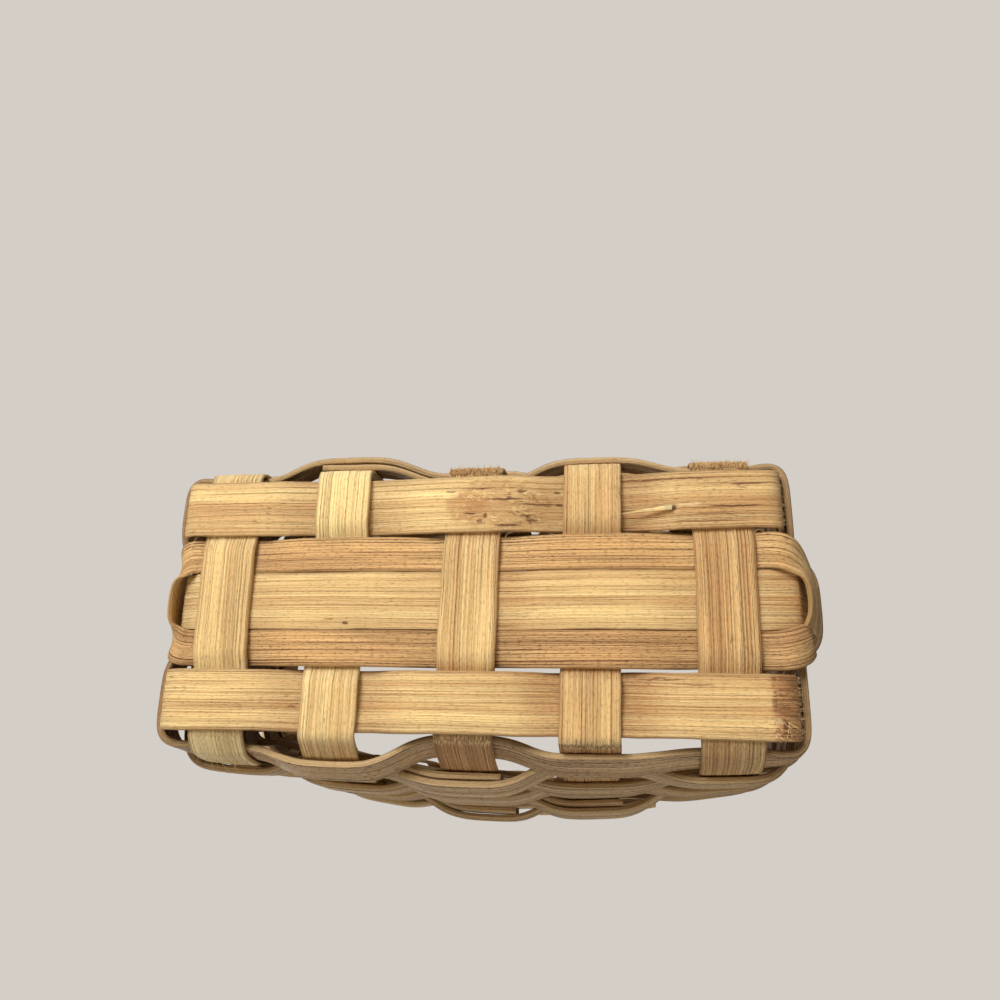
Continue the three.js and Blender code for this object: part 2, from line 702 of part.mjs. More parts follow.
// The filler reed stops on both sides of each leg of the hanging loop.
function rimFiller(from, to) {
  const setback = ((LOOP_LEG_WIDTH / 2 + 2 * CLEARANCE) * SEAT_SHARE) / SEAT_REACH;
  const start = from + setback;
  const end = to - setback;
  const corners = RIM_CORNERS.map(({ position }) => position).filter((p) => p > start && p < end);
  return roundReed([start, ...corners, end].map((position) => {
    const { point, out } = rimFrame({ position, offset: 0, height: FILLER_REED_HEIGHT });
    return { point, facing: out, width: RIM_FILLER_DIAMETER, thickness: RIM_FILLER_DIAMETER };
  }), RIM_FILLER_SIDES);
}

// The lashing goes under the rim in the middle of each gap, up the outside, over the filler reed
// and down the inside to the next gap. It slants all the way round.
function lashing() {
  const face = RIM_BAND_OFFSET + RIM_BAND_THICKNESS / 2;
  const side = face + LASH_SIDE_GAP + LASH_THICKNESS / 2;
  const edge = RIM_BAND_WIDTH / 2;
  const low = -edge - LASH_STAND_OFF - LASH_THICKNESS / 2;
  const top = FILLER_REED_HEIGHT + RIM_FILLER_DIAMETER / 2 + LASH_STAND_OFF + LASH_THICKNESS / 2;
  const crown = RIM_FILLER_DIAMETER / 2;
  const lowAhead = (gap) => (CORNER_GAPS.has(gap + 1) ? LASH_STEPS.lowBeforeCorner : LASH_STEPS.low);
  const places = RING.flatMap((_, gap) => [
    { ahead: LASH_STEPS.under[0], offset: -face, height: low, turned: LASH_FACING.under[0] },
    { ahead: LASH_STEPS.under[1], offset: face, height: low, turned: LASH_FACING.under[1] },
    { ahead: LASH_STEPS.up, offset: side, height: -edge, turned: LASH_FACING.up },
    { ahead: LASH_STEPS.over, offset: side, height: edge, turned: LASH_FACING.over },
    { ahead: LASH_STEPS.crown[0], offset: crown, height: top, turned: LASH_FACING.crown[0] },
    { ahead: LASH_STEPS.crown[1], offset: -crown, height: top, turned: LASH_FACING.crown[1] },
    { ahead: LASH_STEPS.down, offset: -side, height: edge, turned: LASH_FACING.down },
    { ahead: lowAhead(gap), offset: -side, height: -edge, turned: LASH_FACING.low },
  ].map(({ ahead, ...place }) => ({ ...place, position: gap + 1 / 2 + ahead })));
  places[0].offset += LASH_END_TUCK;
  places.at(-1).height += LASH_END_TUCK;
  return stripThrough(places.map(rimFrame), LASH_WIDTH, LASH_THICKNESS);
}

// Hanging loop

function hangingLoop() {
  const inset = (STAKE_THICKNESS + WEAVE_CLEARANCE + LOOP_LEG_THICKNESS + CLEARANCE) / 2;
  const [left, right] = LOOP_INDEX.map(wallAt);
  const depths = [LOOP_LEG_DEPTH, LOOP_LEG_DEPTH / 2, 0, -RIM_BAND_WIDTH / 2 - LASH_STAND_OFF];
  const flat = { width: LOOP_LEG_WIDTH, thickness: LOOP_LEG_THICKNESS };
  const leg = (wall) => depths.map((depth) => {
    const { point, out } = wall.frameAt(wall.edge + RIM_HEIGHT - depth);
    return { point: point.addScaledVector(out, -inset), facing: out, ...flat };
  });
  const rise = leg(left);
  const fall = leg(right).reverse();
  const start = rise.at(-1).point;
  const end = fall[0].point;
  const centre = start.clone().lerp(end, 1 / 2);
  const up = start.clone().sub(rise.at(-2).point).normalize();
  const sideways = start.clone().sub(centre);
  const arch = [];
  for (let i = 1; i < LOOP_STEPS; i += 1) {
    const angle = (Math.PI * i) / LOOP_STEPS;
    const point = centre.clone()
      .addScaledVector(sideways, Math.cos(angle))
      .addScaledVector(up, LOOP_HEIGHT * Math.sin(angle));
    const nearest = Math.min(point.distanceTo(start), point.distanceTo(end));
    const round = smooth(nearest / LOOP_SHOULDER);
    arch.push({
      point,
      facing: sideways.clone().cross(up),
      width: mix(LOOP_LEG_WIDTH, LOOP_DIAMETER, round),
      thickness: mix(LOOP_LEG_THICKNESS, LOOP_DIAMETER, round),
    });
  }
  return roundReed([...rise, ...arch, ...fall], LOOP_SIDES);
}

const material = (colour, roughness) => new THREE.MeshStandardMaterial({
  color: colour,
  roughness,
  metalness: 0,
});

const basket = new THREE.Group();
function add(name, geometry, colour, roughness = 0.75) {
  const mesh = new THREE.Mesh(geometry, material(colour, roughness));
  mesh.name = name;
  basket.add(mesh);
}

CROSS_STAKES.forEach((_, i) => add(`crosswise_stake_${i + 1}`, crossStake(i), REED_COLOUR.stake));
add('lengthwise_stake_back', rowStake(ROWS.back, leftWalls[0], rightWalls[0]), REED_COLOUR.stake);
add('lengthwise_stake_middle', rowStake(ROWS.middle, leftWalls[1], rightWalls[1]), REED_COLOUR.stake);
add('lengthwise_stake_front', rowStake(ROWS.front, leftWalls[2], rightWalls[2]), REED_COLOUR.stake);
add('base_filler_reed', baseFiller(), REED_COLOUR.filler);
for (let course = 0; course < COURSES; course += 1) {
  add(`weaver_course_${course + 1}`, weaver(course), REED_COLOUR.weaver);
}
add('rim_band_outer', rimBand(RIM_BAND_OFFSET), REED_COLOUR.rim);
add('rim_band_inner', rimBand(-RIM_BAND_OFFSET), REED_COLOUR.rim);
add('rim_filler_front', rimFiller(LOOP_INDEX[1], LOOP_INDEX[0] + RING.length), REED_COLOUR.rim);
add('rim_filler_back', rimFiller(...LOOP_INDEX), REED_COLOUR.rim);
add('rim_lashing', lashing(), REED_COLOUR.weaver);
add('hanging_loop', hangingLoop(), REED_COLOUR.rim);

export default basket;
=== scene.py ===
"""Looks of a flat-backed wall basket plaited from flat reed, seen from below."""

import math
import random

import bmesh
import bpy
import numpy as np
from mathutils import Matrix, Vector


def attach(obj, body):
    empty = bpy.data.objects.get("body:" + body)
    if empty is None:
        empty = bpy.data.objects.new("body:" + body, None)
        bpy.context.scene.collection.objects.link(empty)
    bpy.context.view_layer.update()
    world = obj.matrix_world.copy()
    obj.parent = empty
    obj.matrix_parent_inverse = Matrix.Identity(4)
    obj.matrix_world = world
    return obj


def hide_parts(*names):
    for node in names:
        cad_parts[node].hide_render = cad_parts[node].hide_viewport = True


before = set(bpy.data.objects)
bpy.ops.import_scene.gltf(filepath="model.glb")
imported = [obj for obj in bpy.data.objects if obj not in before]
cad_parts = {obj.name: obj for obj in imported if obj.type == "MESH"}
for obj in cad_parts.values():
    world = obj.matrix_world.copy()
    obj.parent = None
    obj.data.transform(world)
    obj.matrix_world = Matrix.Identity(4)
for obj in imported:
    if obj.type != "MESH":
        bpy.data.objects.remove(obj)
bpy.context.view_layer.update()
MM = 0.001


# Camera: below the base, in front of the middle, looking up at the base and the front

def add_camera():
    place = (-0.0353, -0.0294, -0.1997)
    right_of_view = Vector((-0.991, 0.015, 0.129)).normalized()
    back = -Vector((0.129, 0.273, 0.953)).normalized()
    data = bpy.data.cameras.new("camera")
    data.sensor_width = 36.0
    data.lens = 27.04
    data.clip_start = 0.01
    data.clip_end = 50.0
    camera = bpy.data.objects.new("camera", data)
    up = back.cross(right_of_view).normalized()
    turn = Matrix((up.cross(back), up, back)).transposed()
    camera.matrix_world = Matrix.Translation(place) @ turn.to_4x4()
    bpy.context.scene.collection.objects.link(camera)
    bpy.context.scene.camera = camera


# Node trees in code

def new_node(tree, kind, values=None, **settings):
    """A node. Its inputs take constants or the outputs of other nodes."""
    node = tree.nodes.new(kind)
    for key, value in settings.items():
        setattr(node, key, value)
    for key, value in (values or {}).items():
        if isinstance(value, bpy.types.NodeSocket):
            tree.links.new(value, node.inputs[key])
        else:
            node.inputs[key].default_value = value
    return node


def value_of(tree, kind, values=None, output=0, **settings):
    """One output of a new node."""
    return new_node(tree, kind, values, **settings).outputs[output]


def add_sockets(tree, names, kind, in_out="INPUT"):
    for name in names:
        tree.interface.new_socket(name, in_out=in_out, socket_type=kind)


def number(tree, operation, a, b=0.0, c=0.0, clamp=False):
    return value_of(tree, "ShaderNodeMath", {0: a, 1: b, 2: c}, operation=operation,
                    use_clamp=clamp)


def plus(tree, a, b, clamp=False):
    return number(tree, "ADD", a, b, clamp=clamp)


def minus(tree, a, b, clamp=False):
    return number(tree, "SUBTRACT", a, b, clamp=clamp)


def times(tree, a, b, clamp=False):
    return number(tree, "MULTIPLY", a, b, clamp=clamp)


def scaled_plus(tree, a, factor, shift):
    return number(tree, "MULTIPLY_ADD", a, factor, shift)


def vector(tree, operation, a, b=(0.0, 0.0, 0.0)):
    return value_of(tree, "ShaderNodeVectorMath", {0: a, 1: b}, operation=operation)


def scaled_vector(tree, a, factor):
    return value_of(tree, "ShaderNodeVectorMath", {0: a, "Scale": factor}, operation="SCALE")


def attribute(tree, name):
    return value_of(tree, "ShaderNodeAttribute", output="Fac", attribute_name=name)


def blend_colour(tree, share, a, b):
    """The colour a with the given share of b over it."""
    a, b = (c if isinstance(c, bpy.types.NodeSocket) else (*c, 1.0) for c in (a, b))
    return value_of(tree, "ShaderNodeMix", {"Factor": share, 6: a, 7: b}, output=2,
                    data_type="RGBA")


def step_up(tree, value, low, high):
    """0 below low, 1 above high, smooth between them."""
    return value_of(tree, "ShaderNodeMapRange",
                    {"Value": value, "From Min": low, "From Max": high}, output="Result",
                    interpolation_type="SMOOTHSTEP")


def step_down(tree, value, low, high):
    return minus(tree, 1.0, step_up(tree, value, low, high))


def part_step(tree, value, low, high, share):
    """0 below low, the share above high, smooth between them."""
    return times(tree, step_up(tree, value, low, high), share)


def stretched_noise(tree, where, along, across, detail=2.0, roughness=0.5):
    """Noise drawn out along the reed: along and across are its grains per metre."""
    stretched = vector(tree, "MULTIPLY", where, (along, across, 1.0))
    return value_of(tree, "ShaderNodeTexNoise", {
        "Vector": stretched, "Scale": 1.0, "Detail": detail, "Roughness": roughness,
    }, output="Fac")


def noise_at(tree, x, y, grains, detail=1.0):
    """Noise over two numbers that need not be a place: grains are its grains per unit of each."""
    where = value_of(tree, "ShaderNodeCombineXYZ",
                     {"X": times(tree, x, grains[0]), "Y": times(tree, y, grains[1])})
    return value_of(tree, "ShaderNodeTexNoise", {"Vector": where, "Scale": 1.0, "Detail": detail},
                    output="Fac", noise_dimensions="2D")


def dice_of(tree, cell, seed):
    return value_of(tree, "ShaderNodeTexWhiteNoise", {"W": plus(tree, cell, seed)},
                    output="Value", noise_dimensions="1D")


# Grain of split reed. Grains are per metre along and across it, but the line gaps' second number
# is per cell. Steps are (low, high) or (low, high, share), and lines are (lines per metre, half
# width as a share of the cell, seed)

SWAY_GRAINS, SWAY = (13.0, 60.0), 0.0011
COARSE_LINES = (1050.0, 0.19, 11.0)
THIN_LINES, THIN_SHARE = (2450.0, 0.30, 5.0), 0.66
LINE_CORE, LINE_FIRST, LINE_SPREAD = 0.35, 0.32, 0.36
LINE_GAPS, LINE_GAP_STEP = (30.0, 7.31), (0.22, 0.60)
FAINTEST_LINE = 0.15
FINE_GRAINS, FINE_STEP, FINE_HEIGHT = (13.0, 2600.0), (0.48, 0.74, 0.42), 0.35
PALE_GRAINS, RIDGE_STEP = (11.0, 1500.0), (0.52, 0.72, 0.38)
BROAD_GRAINS, BROAD_STEP, CELL_TONE = (9.0, 190.0), (0.30, 0.70, 0.5), 0.5
PORE_GRAINS, PORE_STEP = (720.0, 2700.0), (0.54, 0.74, 0.34)
# Lines grow stronger with the tint, which holds the reeds' own tones and the painted shade of their
# walls
TONE_AND_SHADE_LINES = 0.9
DASH_GRAINS, DASH_STEP = (300.0, 1900.0), (0.63, 0.70)
FLECK_GRAINS, FLECK_STEP = (34.0, 160.0), (0.52, 0.68)


def vessel_lines(tree, along, across, per_metre, width, seed):
    """Thin lines along the reed, one to a cell, that come and go. Gives the lines and the cells."""
    place = scaled_plus(tree, across, per_metre, seed)
    cell = number(tree, "FLOOR", place)
    middle = scaled_plus(tree, dice_of(tree, cell, 3.7), LINE_SPREAD, LINE_FIRST)
    away = number(tree, "ABSOLUTE", minus(tree, number(tree, "FRACT", place), middle))
    shape = step_down(tree, away, width * LINE_CORE, width)
    comes = noise_at(tree, along, cell, LINE_GAPS)
    own = scaled_plus(tree, dice_of(tree, cell, 61.9), 1 - FAINTEST_LINE, FAINTEST_LINE)
    strength = times(tree, step_up(tree, comes, *LINE_GAP_STEP), own)
    return times(tree, shape, strength), cell


def reed_grain_group():
    """Dark vessel lines, paler ridges between them, broad streaks, pores and short brown flecks."""
    group = bpy.data.node_groups.new("reed_grain", "ShaderNodeTree")
    add_sockets(group, ("Light", "Mid", "Deep", "Dark"), "NodeSocketColor")
    add_sockets(group, ("Lines", "Flecks", "Tone"), "NodeSocketFloat")
    add_sockets(group, ("Color",), "NodeSocketColor", "OUTPUT")
    add_sockets(group, ("Height", "Lines"), "NodeSocketFloat", "OUTPUT")
    given = group.nodes.new("NodeGroupInput").outputs
    uv = value_of(group, "ShaderNodeUVMap", uv_map="reed")
    along, straight, _ = new_node(group, "ShaderNodeSeparateXYZ", {0: uv}).outputs
    sway = noise_at(group, along, straight, SWAY_GRAINS)
    across = scaled_plus(group, sway, SWAY, straight)
    coarse, cell = vessel_lines(group, along, across, *COARSE_LINES)
    thin, _ = vessel_lines(group, along, across, *THIN_LINES)
    fine = stretched_noise(group, uv, *FINE_GRAINS, roughness=0.7)
    pale = stretched_noise(group, uv, *PALE_GRAINS, roughness=0.7)
    broad = stretched_noise(group, uv, *BROAD_GRAINS, detail=3.0)
    # The tint holds the reeds' own tones and the painted shade of the walls; it darkens the colour
    # and the lines
    tint = attribute(group, "tint")

    streaks = plus(group, part_step(group, broad, *BROAD_STEP),
                   times(group, dice_of(group, cell, 23.1), CELL_TONE))
    tone = plus(group, times(group, streaks, given["Tone"]), tint)
    base = blend_colour(group, plus(group, tone, 0.0, clamp=True), given["Light"], given["Mid"])
    base = blend_colour(group, minus(group, tone, 1.0, clamp=True), base, given["Deep"])
    base = blend_colour(group, part_step(group, pale, *RIDGE_STEP), base, given["Light"])

    share = number(group, "MAXIMUM", coarse, times(group, thin, THIN_SHARE))
    share = plus(group, share, part_step(group, fine, *FINE_STEP))
    pores = noise_at(group, along, across, PORE_GRAINS)
    share = plus(group, share, part_step(group, pores, *PORE_STEP))
    tone_and_shade = scaled_plus(group, plus(group, tint, 0.0, clamp=True), TONE_AND_SHADE_LINES, 1.0)
    drawn = times(group, times(group, share, tone_and_shade), given["Lines"], clamp=True)
    lined = blend_colour(group, drawn, base, given["Dark"])

    dash = noise_at(group, along, across, DASH_GRAINS, detail=2.0)
    where = stretched_noise(group, uv, *FLECK_GRAINS, detail=1.0)
    fleck = times(group, step_up(group, dash, *DASH_STEP), step_up(group, where, *FLECK_STEP))
    flecked = blend_colour(group, times(group, fleck, given["Flecks"]), lined, given["Dark"])
    out = group.nodes.new("NodeGroupOutput")
    group.links.new(flecked, out.inputs["Color"])
    group.links.new(minus(group, times(group, fine, FINE_HEIGHT), share), out.inputs["Height"])
    group.links.new(share, out.inputs["Lines"])
    return group


# Marks: stains, cracks, knots and a painted shadow at places on the base, in metres

MARK_DEPTH = 0.02
MARK_SOFT = (0.55, 1.0)
SHAKE_GRAINS = 420.0
HOLE_GRAINS, HOLE_SOFT = (210.0, 1500.0), 0.07


def mark_group():
    """A soft-edged spot, stroke or patch at a place on the object, broken up along the reed."""
    group = bpy.data.node_groups.new("mark", "ShaderNodeTree")
    add_sockets(group, ("Centre", "Size"), "NodeSocketVector")
    add_sockets(group, ("Wobble", "Sparse"), "NodeSocketFloat")
    add_sockets(group, ("Mask",), "NodeSocketFloat", "OUTPUT")
    given = group.nodes.new("NodeGroupInput").outputs
    place = value_of(group, "ShaderNodeTexCoord", output="Object")
    shaken = value_of(group, "ShaderNodeTexNoise",
                      {"Vector": place, "Scale": SHAKE_GRAINS, "Detail": 3.0}, output="Color")
    drift = vector(group, "SUBTRACT", shaken, (0.5, 0.5, 0.5))
    place = vector(group, "ADD", place, scaled_vector(group, drift, given["Wobble"]))
    away = vector(group, "SUBTRACT", place, given["Centre"])
    away = vector(group, "DIVIDE", away, given["Size"])
    length = value_of(group, "ShaderNodeVectorMath", {0: away}, output="Value",
                      operation="LENGTH")
    inside = step_down(group, length, *MARK_SOFT)
    torn = stretched_noise(group, place, *HOLE_GRAINS, detail=3.0, roughness=0.65)
    whole = step_up(group, torn, given["Sparse"], plus(group, given["Sparse"], HOLE_SOFT))
    out = group.nodes.new("NodeGroupOutput")
    group.links.new(times(group, inside, whole), out.inputs["Mask"])
    return group


# Finish of split reed: the places across it and from its folds are in metres

# Painted shade: a dark band along each side of a strip, from 0.3 to 0.9 mm in from its edge, for
# the shade in the gaps between the reeds
GAP_SHADE_BAND, GAP_SHADE_SHARE = (0.0003, 0.0009), 0.30
# The cut edges darken with the same tint, painted wall shade included
EDGE_STEP, EDGE_TONE_AND_SHADE = (0.30, 0.85), 0.8
FOLD_GRAINS, FOLD_RAGGED = (60.0, 1100.0), 0.0050
FOLD_ZONE, FOLD_RUBBED = (0.0004, 0.0020), 0.30
CREASE_ZONE, CREASE_SHARE = (0.00018, 0.00060), 0.85
PIT_GRAINS, PIT_STEP = (420.0, 2100.0), (0.54, 0.66)
PIT_SHADE, PIT_DEPTH = 0.75, 1.5
ROUGH, ROUGH_LINES, SHEEN = 0.57, 0.16, 0.35
BUMP_STRENGTH, BUMP_HEIGHT = 0.8, 0.00028
BROWN = (0.15, 0.06, 0.022)
RUSTY = (0.50, 0.27, 0.10)
PALE = (0.90, 0.72, 0.42)
GRAIN = reed_grain_group()
MARK = mark_group()


def fold_wear(tree):
    """Where a fold is rubbed pale, and where its fibres have broken along a crease and in pits."""
    worn, fold = attribute(tree, "worn"), attribute(tree, "fold")
    uv = value_of(tree, "ShaderNodeUVMap", uv_map="reed")
    ragged = stretched_noise(tree, uv, *FOLD_GRAINS, detail=3.0, roughness=0.7)
    away = scaled_plus(tree, minus(tree, ragged, 0.5), FOLD_RAGGED, fold)
    away = number(tree, "ABSOLUTE", away)
    zone = step_down(tree, away, *FOLD_ZONE)
    rubbed = times(tree, zone, times(tree, worn, FOLD_RUBBED))
    crease = times(tree, step_down(tree, away, *CREASE_ZONE), CREASE_SHARE)
    torn = stretched_noise(tree, uv, *PIT_GRAINS)
    pits = times(tree, zone, step_up(tree, torn, *PIT_STEP))
    return rubbed, times(tree, number(tree, "MAXIMUM", crease, pits), worn)


def reed_material(name, light, mid, deep, dark, lines, flecks, tone, edge=None, edged=0.75,
                  marks=()):
    """Split reed. edge is the colour of its cut edges and edged their share of it; marks are
    ((x, y), (half length, half width), wobble, sparse, colour, share), where sparse is 0 for a
    full mark and 0.6 for a few cracks."""
    material = bpy.data.materials.new(name)
    material.use_nodes = True
    tree = material.node_tree
    shader = tree.nodes["Principled BSDF"]
    grain = new_node(tree, "ShaderNodeGroup", node_tree=GRAIN)
    for key, value in (("Light", (*light, 1)), ("Mid", (*mid, 1)), ("Deep", (*deep, 1)),
                       ("Dark", (*dark, 1)), ("Lines", lines), ("Flecks", flecks), ("Tone", tone)):
        grain.inputs[key].default_value = value
    # Painted shade along both sides of the strip, for the shade in the gaps between the reeds
    side = step_down(tree, attribute(tree, "rim"), *GAP_SHADE_BAND)
    colour = blend_colour(tree, times(tree, side, GAP_SHADE_SHARE), grain.outputs["Color"], dark)
    # Cut edges darken with the tint, so with the painted wall shade too
    tone_and_shade = times(tree, attribute(tree, "tint"), EDGE_TONE_AND_SHADE, clamp=True)
    cut = blend_colour(tree, tone_and_shade, edge or light, deep)
    on_edge = part_step(tree, attribute(tree, "edge"), *EDGE_STEP, edged)
    colour = blend_colour(tree, on_edge, colour, cut)
    rubbed, pits = fold_wear(tree)
    colour = blend_colour(tree, rubbed, colour, light)
    colour = blend_colour(tree, times(tree, pits, PIT_SHADE), colour, BROWN)
    for centre, size, wobble, sparse, paint, share in marks:
        spot = new_node(tree, "ShaderNodeGroup", node_tree=MARK)
        for key, value in (("Centre", (*centre, 0.0)), ("Size", (*size, MARK_DEPTH)),
                           ("Wobble", wobble), ("Sparse", sparse)):
            spot.inputs[key].default_value = value
        colour = blend_colour(tree, times(tree, spot.outputs["Mask"], share), colour, paint)
    tree.links.new(colour, shader.inputs["Base Color"])
    rough = scaled_plus(tree, grain.outputs["Lines"], ROUGH_LINES, ROUGH)
    tree.links.new(rough, shader.inputs["Roughness"])
    height = minus(tree, grain.outputs["Height"], times(tree, pits, PIT_DEPTH))
    bump = value_of(tree, "ShaderNodeBump", {"Strength": BUMP_STRENGTH,
                                             "Distance": BUMP_HEIGHT, "Height": height})
    tree.links.new(bump, shader.inputs["Normal"])
    shader.inputs["Specular IOR Level"].default_value = SHEEN
    return material


STRAW = dict(light=(0.95, 0.795, 0.42), mid=(0.63, 0.38, 0.16), deep=(0.44, 0.215, 0.085),
             dark=(0.22, 0.10, 0.04), lines=0.54, flecks=0.55, tone=0.75, edge=(0.55, 0.37, 0.16))
STAKE = reed_material("stake_reed", **STRAW)
STAINED_AND_SHADOWED = reed_material("stake_reed_stained_and_shadowed", marks=[
    ((-0.0110, 0.0265), (0.0190, 0.0095), 0.005, 0.38, RUSTY, 0.55),
    ((0.0010, 0.0260), (0.0070, 0.0060), 0.005, 0.40, RUSTY, 0.5),
    ((-0.0080, 0.0265), (0.0170, 0.0085), 0.004, 0.60, BROWN, 0.8),
    ((-0.0150, 0.0262), (0.0100, 0.0075), 0.004, 0.56, BROWN, 0.5),
    ((-0.0097, 0.0280), (0.0070, 0.00034), 0.0010, 0.30, BROWN, 0.85),
    ((-0.0108, 0.0287), (0.0012, 0.00100), 0.0022, 0.42, BROWN, 0.7),
    ((-0.0143, 0.0301), (0.0020, 0.00070), 0.0020, 0.42, BROWN, 0.75),
    ((-0.0190, 0.0266), (0.0066, 0.00030), 0.0007, 0.20, BROWN, 0.85),
    ((-0.0247, 0.0265), (0.0014, 0.00050), 0.0008, 0.10, BROWN, 0.9),
    ((-0.0001, 0.0240), (0.0024, 0.00032), 0.0008, 0.25, BROWN, 0.85),
    ((-0.0040, 0.0232), (0.0008, 0.00110), 0.0018, 0.38, BROWN, 0.75),
    ((-0.0026, 0.0219), (0.0014, 0.00060), 0.0016, 0.38, BROWN, 0.7),
    ((-0.0103, 0.0206), (0.0046, 0.00045), 0.0010, 0.25, BROWN, 0.9),
    ((-0.0151, 0.0231), (0.0020, 0.00120), 0.0028, 0.46, BROWN, 0.8),
    ((-0.0172, 0.0221), (0.0022, 0.00034), 0.0014, 0.25, BROWN, 0.85),
    ((-0.0026, 0.0312), (0.0052, 0.00026), 0.0008, 0.38, BROWN, 0.75),
    ((0.0058, 0.0304), (0.0020, 0.00034), 0.0008, 0.30, BROWN, 0.75),
    ((-0.0240, 0.0299), (0.0012, 0.00050), 0.0010, 0.25, BROWN, 0.8),
    ((-0.0520, 0.0329), (0.0190, 0.00030), 0.0008, 0.32, BROWN, 0.8),
    ((-0.0755, 0.0310), (0.0060, 0.00034), 0.0010, 0.25, BROWN, 0.8),
    ((-0.0720, 0.0249), (0.0090, 0.00032), 0.0008, 0.25, BROWN, 0.85),
    ((-0.0640, 0.0208), (0.0130, 0.00026), 0.0006, 0.30, BROWN, 0.65),
    ((-0.0595, 0.0256), (0.0040, 0.00055), 0.0008, 0.20, PALE, 0.85),
    # Painted shadow under the lifted sliver's free end
    ((-0.0557, 0.0247), (0.0008, 0.00095), 0.0004, 0.0, BROWN, 0.9),
    ((-0.0660, 0.0230), (0.0080, 0.00180), 0.0020, 0.52, BROWN, 0.5),
], **STRAW)
CREASED = reed_material("stake_reed_creased", marks=[
    ((-0.0778, -0.0260), (0.00075, 0.0120), 0.0020, 0.44, BROWN, 0.6),
    ((-0.0810, -0.0270), (0.0034, 0.0110), 0.0020, 0.47, BROWN, 0.55),
    ((-0.0790, -0.0322), (0.0026, 0.0034), 0.0030, 0.46, BROWN, 0.75),
    ((-0.0778, -0.0310), (0.0016, 0.0036), 0.0030, 0.48, PALE, 0.7),
    ((-0.0500, -0.0205), (0.0080, 0.00035), 0.0008, 0.30, BROWN, 0.7),
    ((-0.0585, -0.0217), (0.0060, 0.00030), 0.0008, 0.30, BROWN, 0.6),
    ((0.0480, -0.0285), (0.0016, 0.00030), 0.0008, 0.10, BROWN, 0.7),
], **STRAW)
# Painted shade: this material's rounded edges are painted near black (edge colour and share below),
# for the shade in the seams beside the middle row
KNOTTED_SHADED_EDGES = reed_material("stake_reed_knotted_shaded_edges", marks=[
    ((0.0340, -0.0063), (0.0011, 0.00065), 0.0010, 0.0, BROWN, 0.85),
    ((0.0388, -0.0052), (0.0020, 0.00022), 0.0009, 0.2, BROWN, 0.7),
    ((-0.0060, -0.0070), (0.0090, 0.00035), 0.0012, 0.3, BROWN, 0.5),
], edged=0.9, **{**STRAW, "edge": (0.22, 0.11, 0.04)})
FILLER = reed_material("filler_reed", (0.94, 0.66, 0.305), (0.48, 0.265, 0.115),
                       (0.35, 0.175, 0.067), (0.15, 0.06, 0.024), lines=0.90, flecks=0.6,
                       tone=0.72, edge=(0.52, 0.33, 0.13))
WEAVER = reed_material("weaver_reed", (0.92, 0.665, 0.38), (0.54, 0.335, 0.165),
                       (0.32, 0.175, 0.075), (0.07, 0.032, 0.013), lines=1.25, flecks=0.6,
                       tone=0.8, edge=(0.78, 0.55, 0.26), edged=0.5)
RIM = reed_material("rim_reed", (0.74, 0.50, 0.23), (0.56, 0.34, 0.14), (0.42, 0.22, 0.09),
                    (0.28, 0.14, 0.05), lines=0.5, flecks=0.5, tone=0.8)
LASHING = reed_material("lashing_reed", (0.78, 0.53, 0.25), (0.62, 0.39, 0.165),
                        (0.45, 0.25, 0.10), (0.30, 0.15, 0.055), lines=0.5, flecks=0.4, tone=0.7)


# Strips: the run of each reed is read from its solid, and its fine surface is laid over that run

INSIDE_BASKET = np.array((0.0, -0.006, 0.05))
SAME_POINT, INNER_EDGES = 1e-6, 6
SIDE_INSET = 0.05 * MM
SIDE_WAVE, LIFT_WAVE, TONE_WAVE, RIDGE_WAVE, SWELL_WAVE = 9 * MM, 14 * MM, 40 * MM, 26 * MM, 11 * MM
LIFT, TONE_CHANGE, SWELL = 0.07 * MM, 0.12, 0.012
TOP_SPACING, UNDER_SPACING, ARC_POINTS = 0.8 * MM, 1.2 * MM, 3
MOST_ROUNDED, UNDER_CROWN = 0.45, -0.5
ROUND_SIDES, ROUND_STEP, ROUND_SPACING = 14, 1.3 * MM, 0.9 * MM
BEND_RADIUS, SLIGHT_BEND, BEND_RANGE = 4 * MM, 0.35, 0.5
OCTAVES, FINER, FAINTER, FULL_WANDER = 4, 1.9, 1.6, 2.2
FOLD_TOP, FOLD_REACH, FOLD_ROUGH = 6 * MM, 5 * MM, 0.10
UV_ALONG, UV_ROUND = 0.83, 0.117


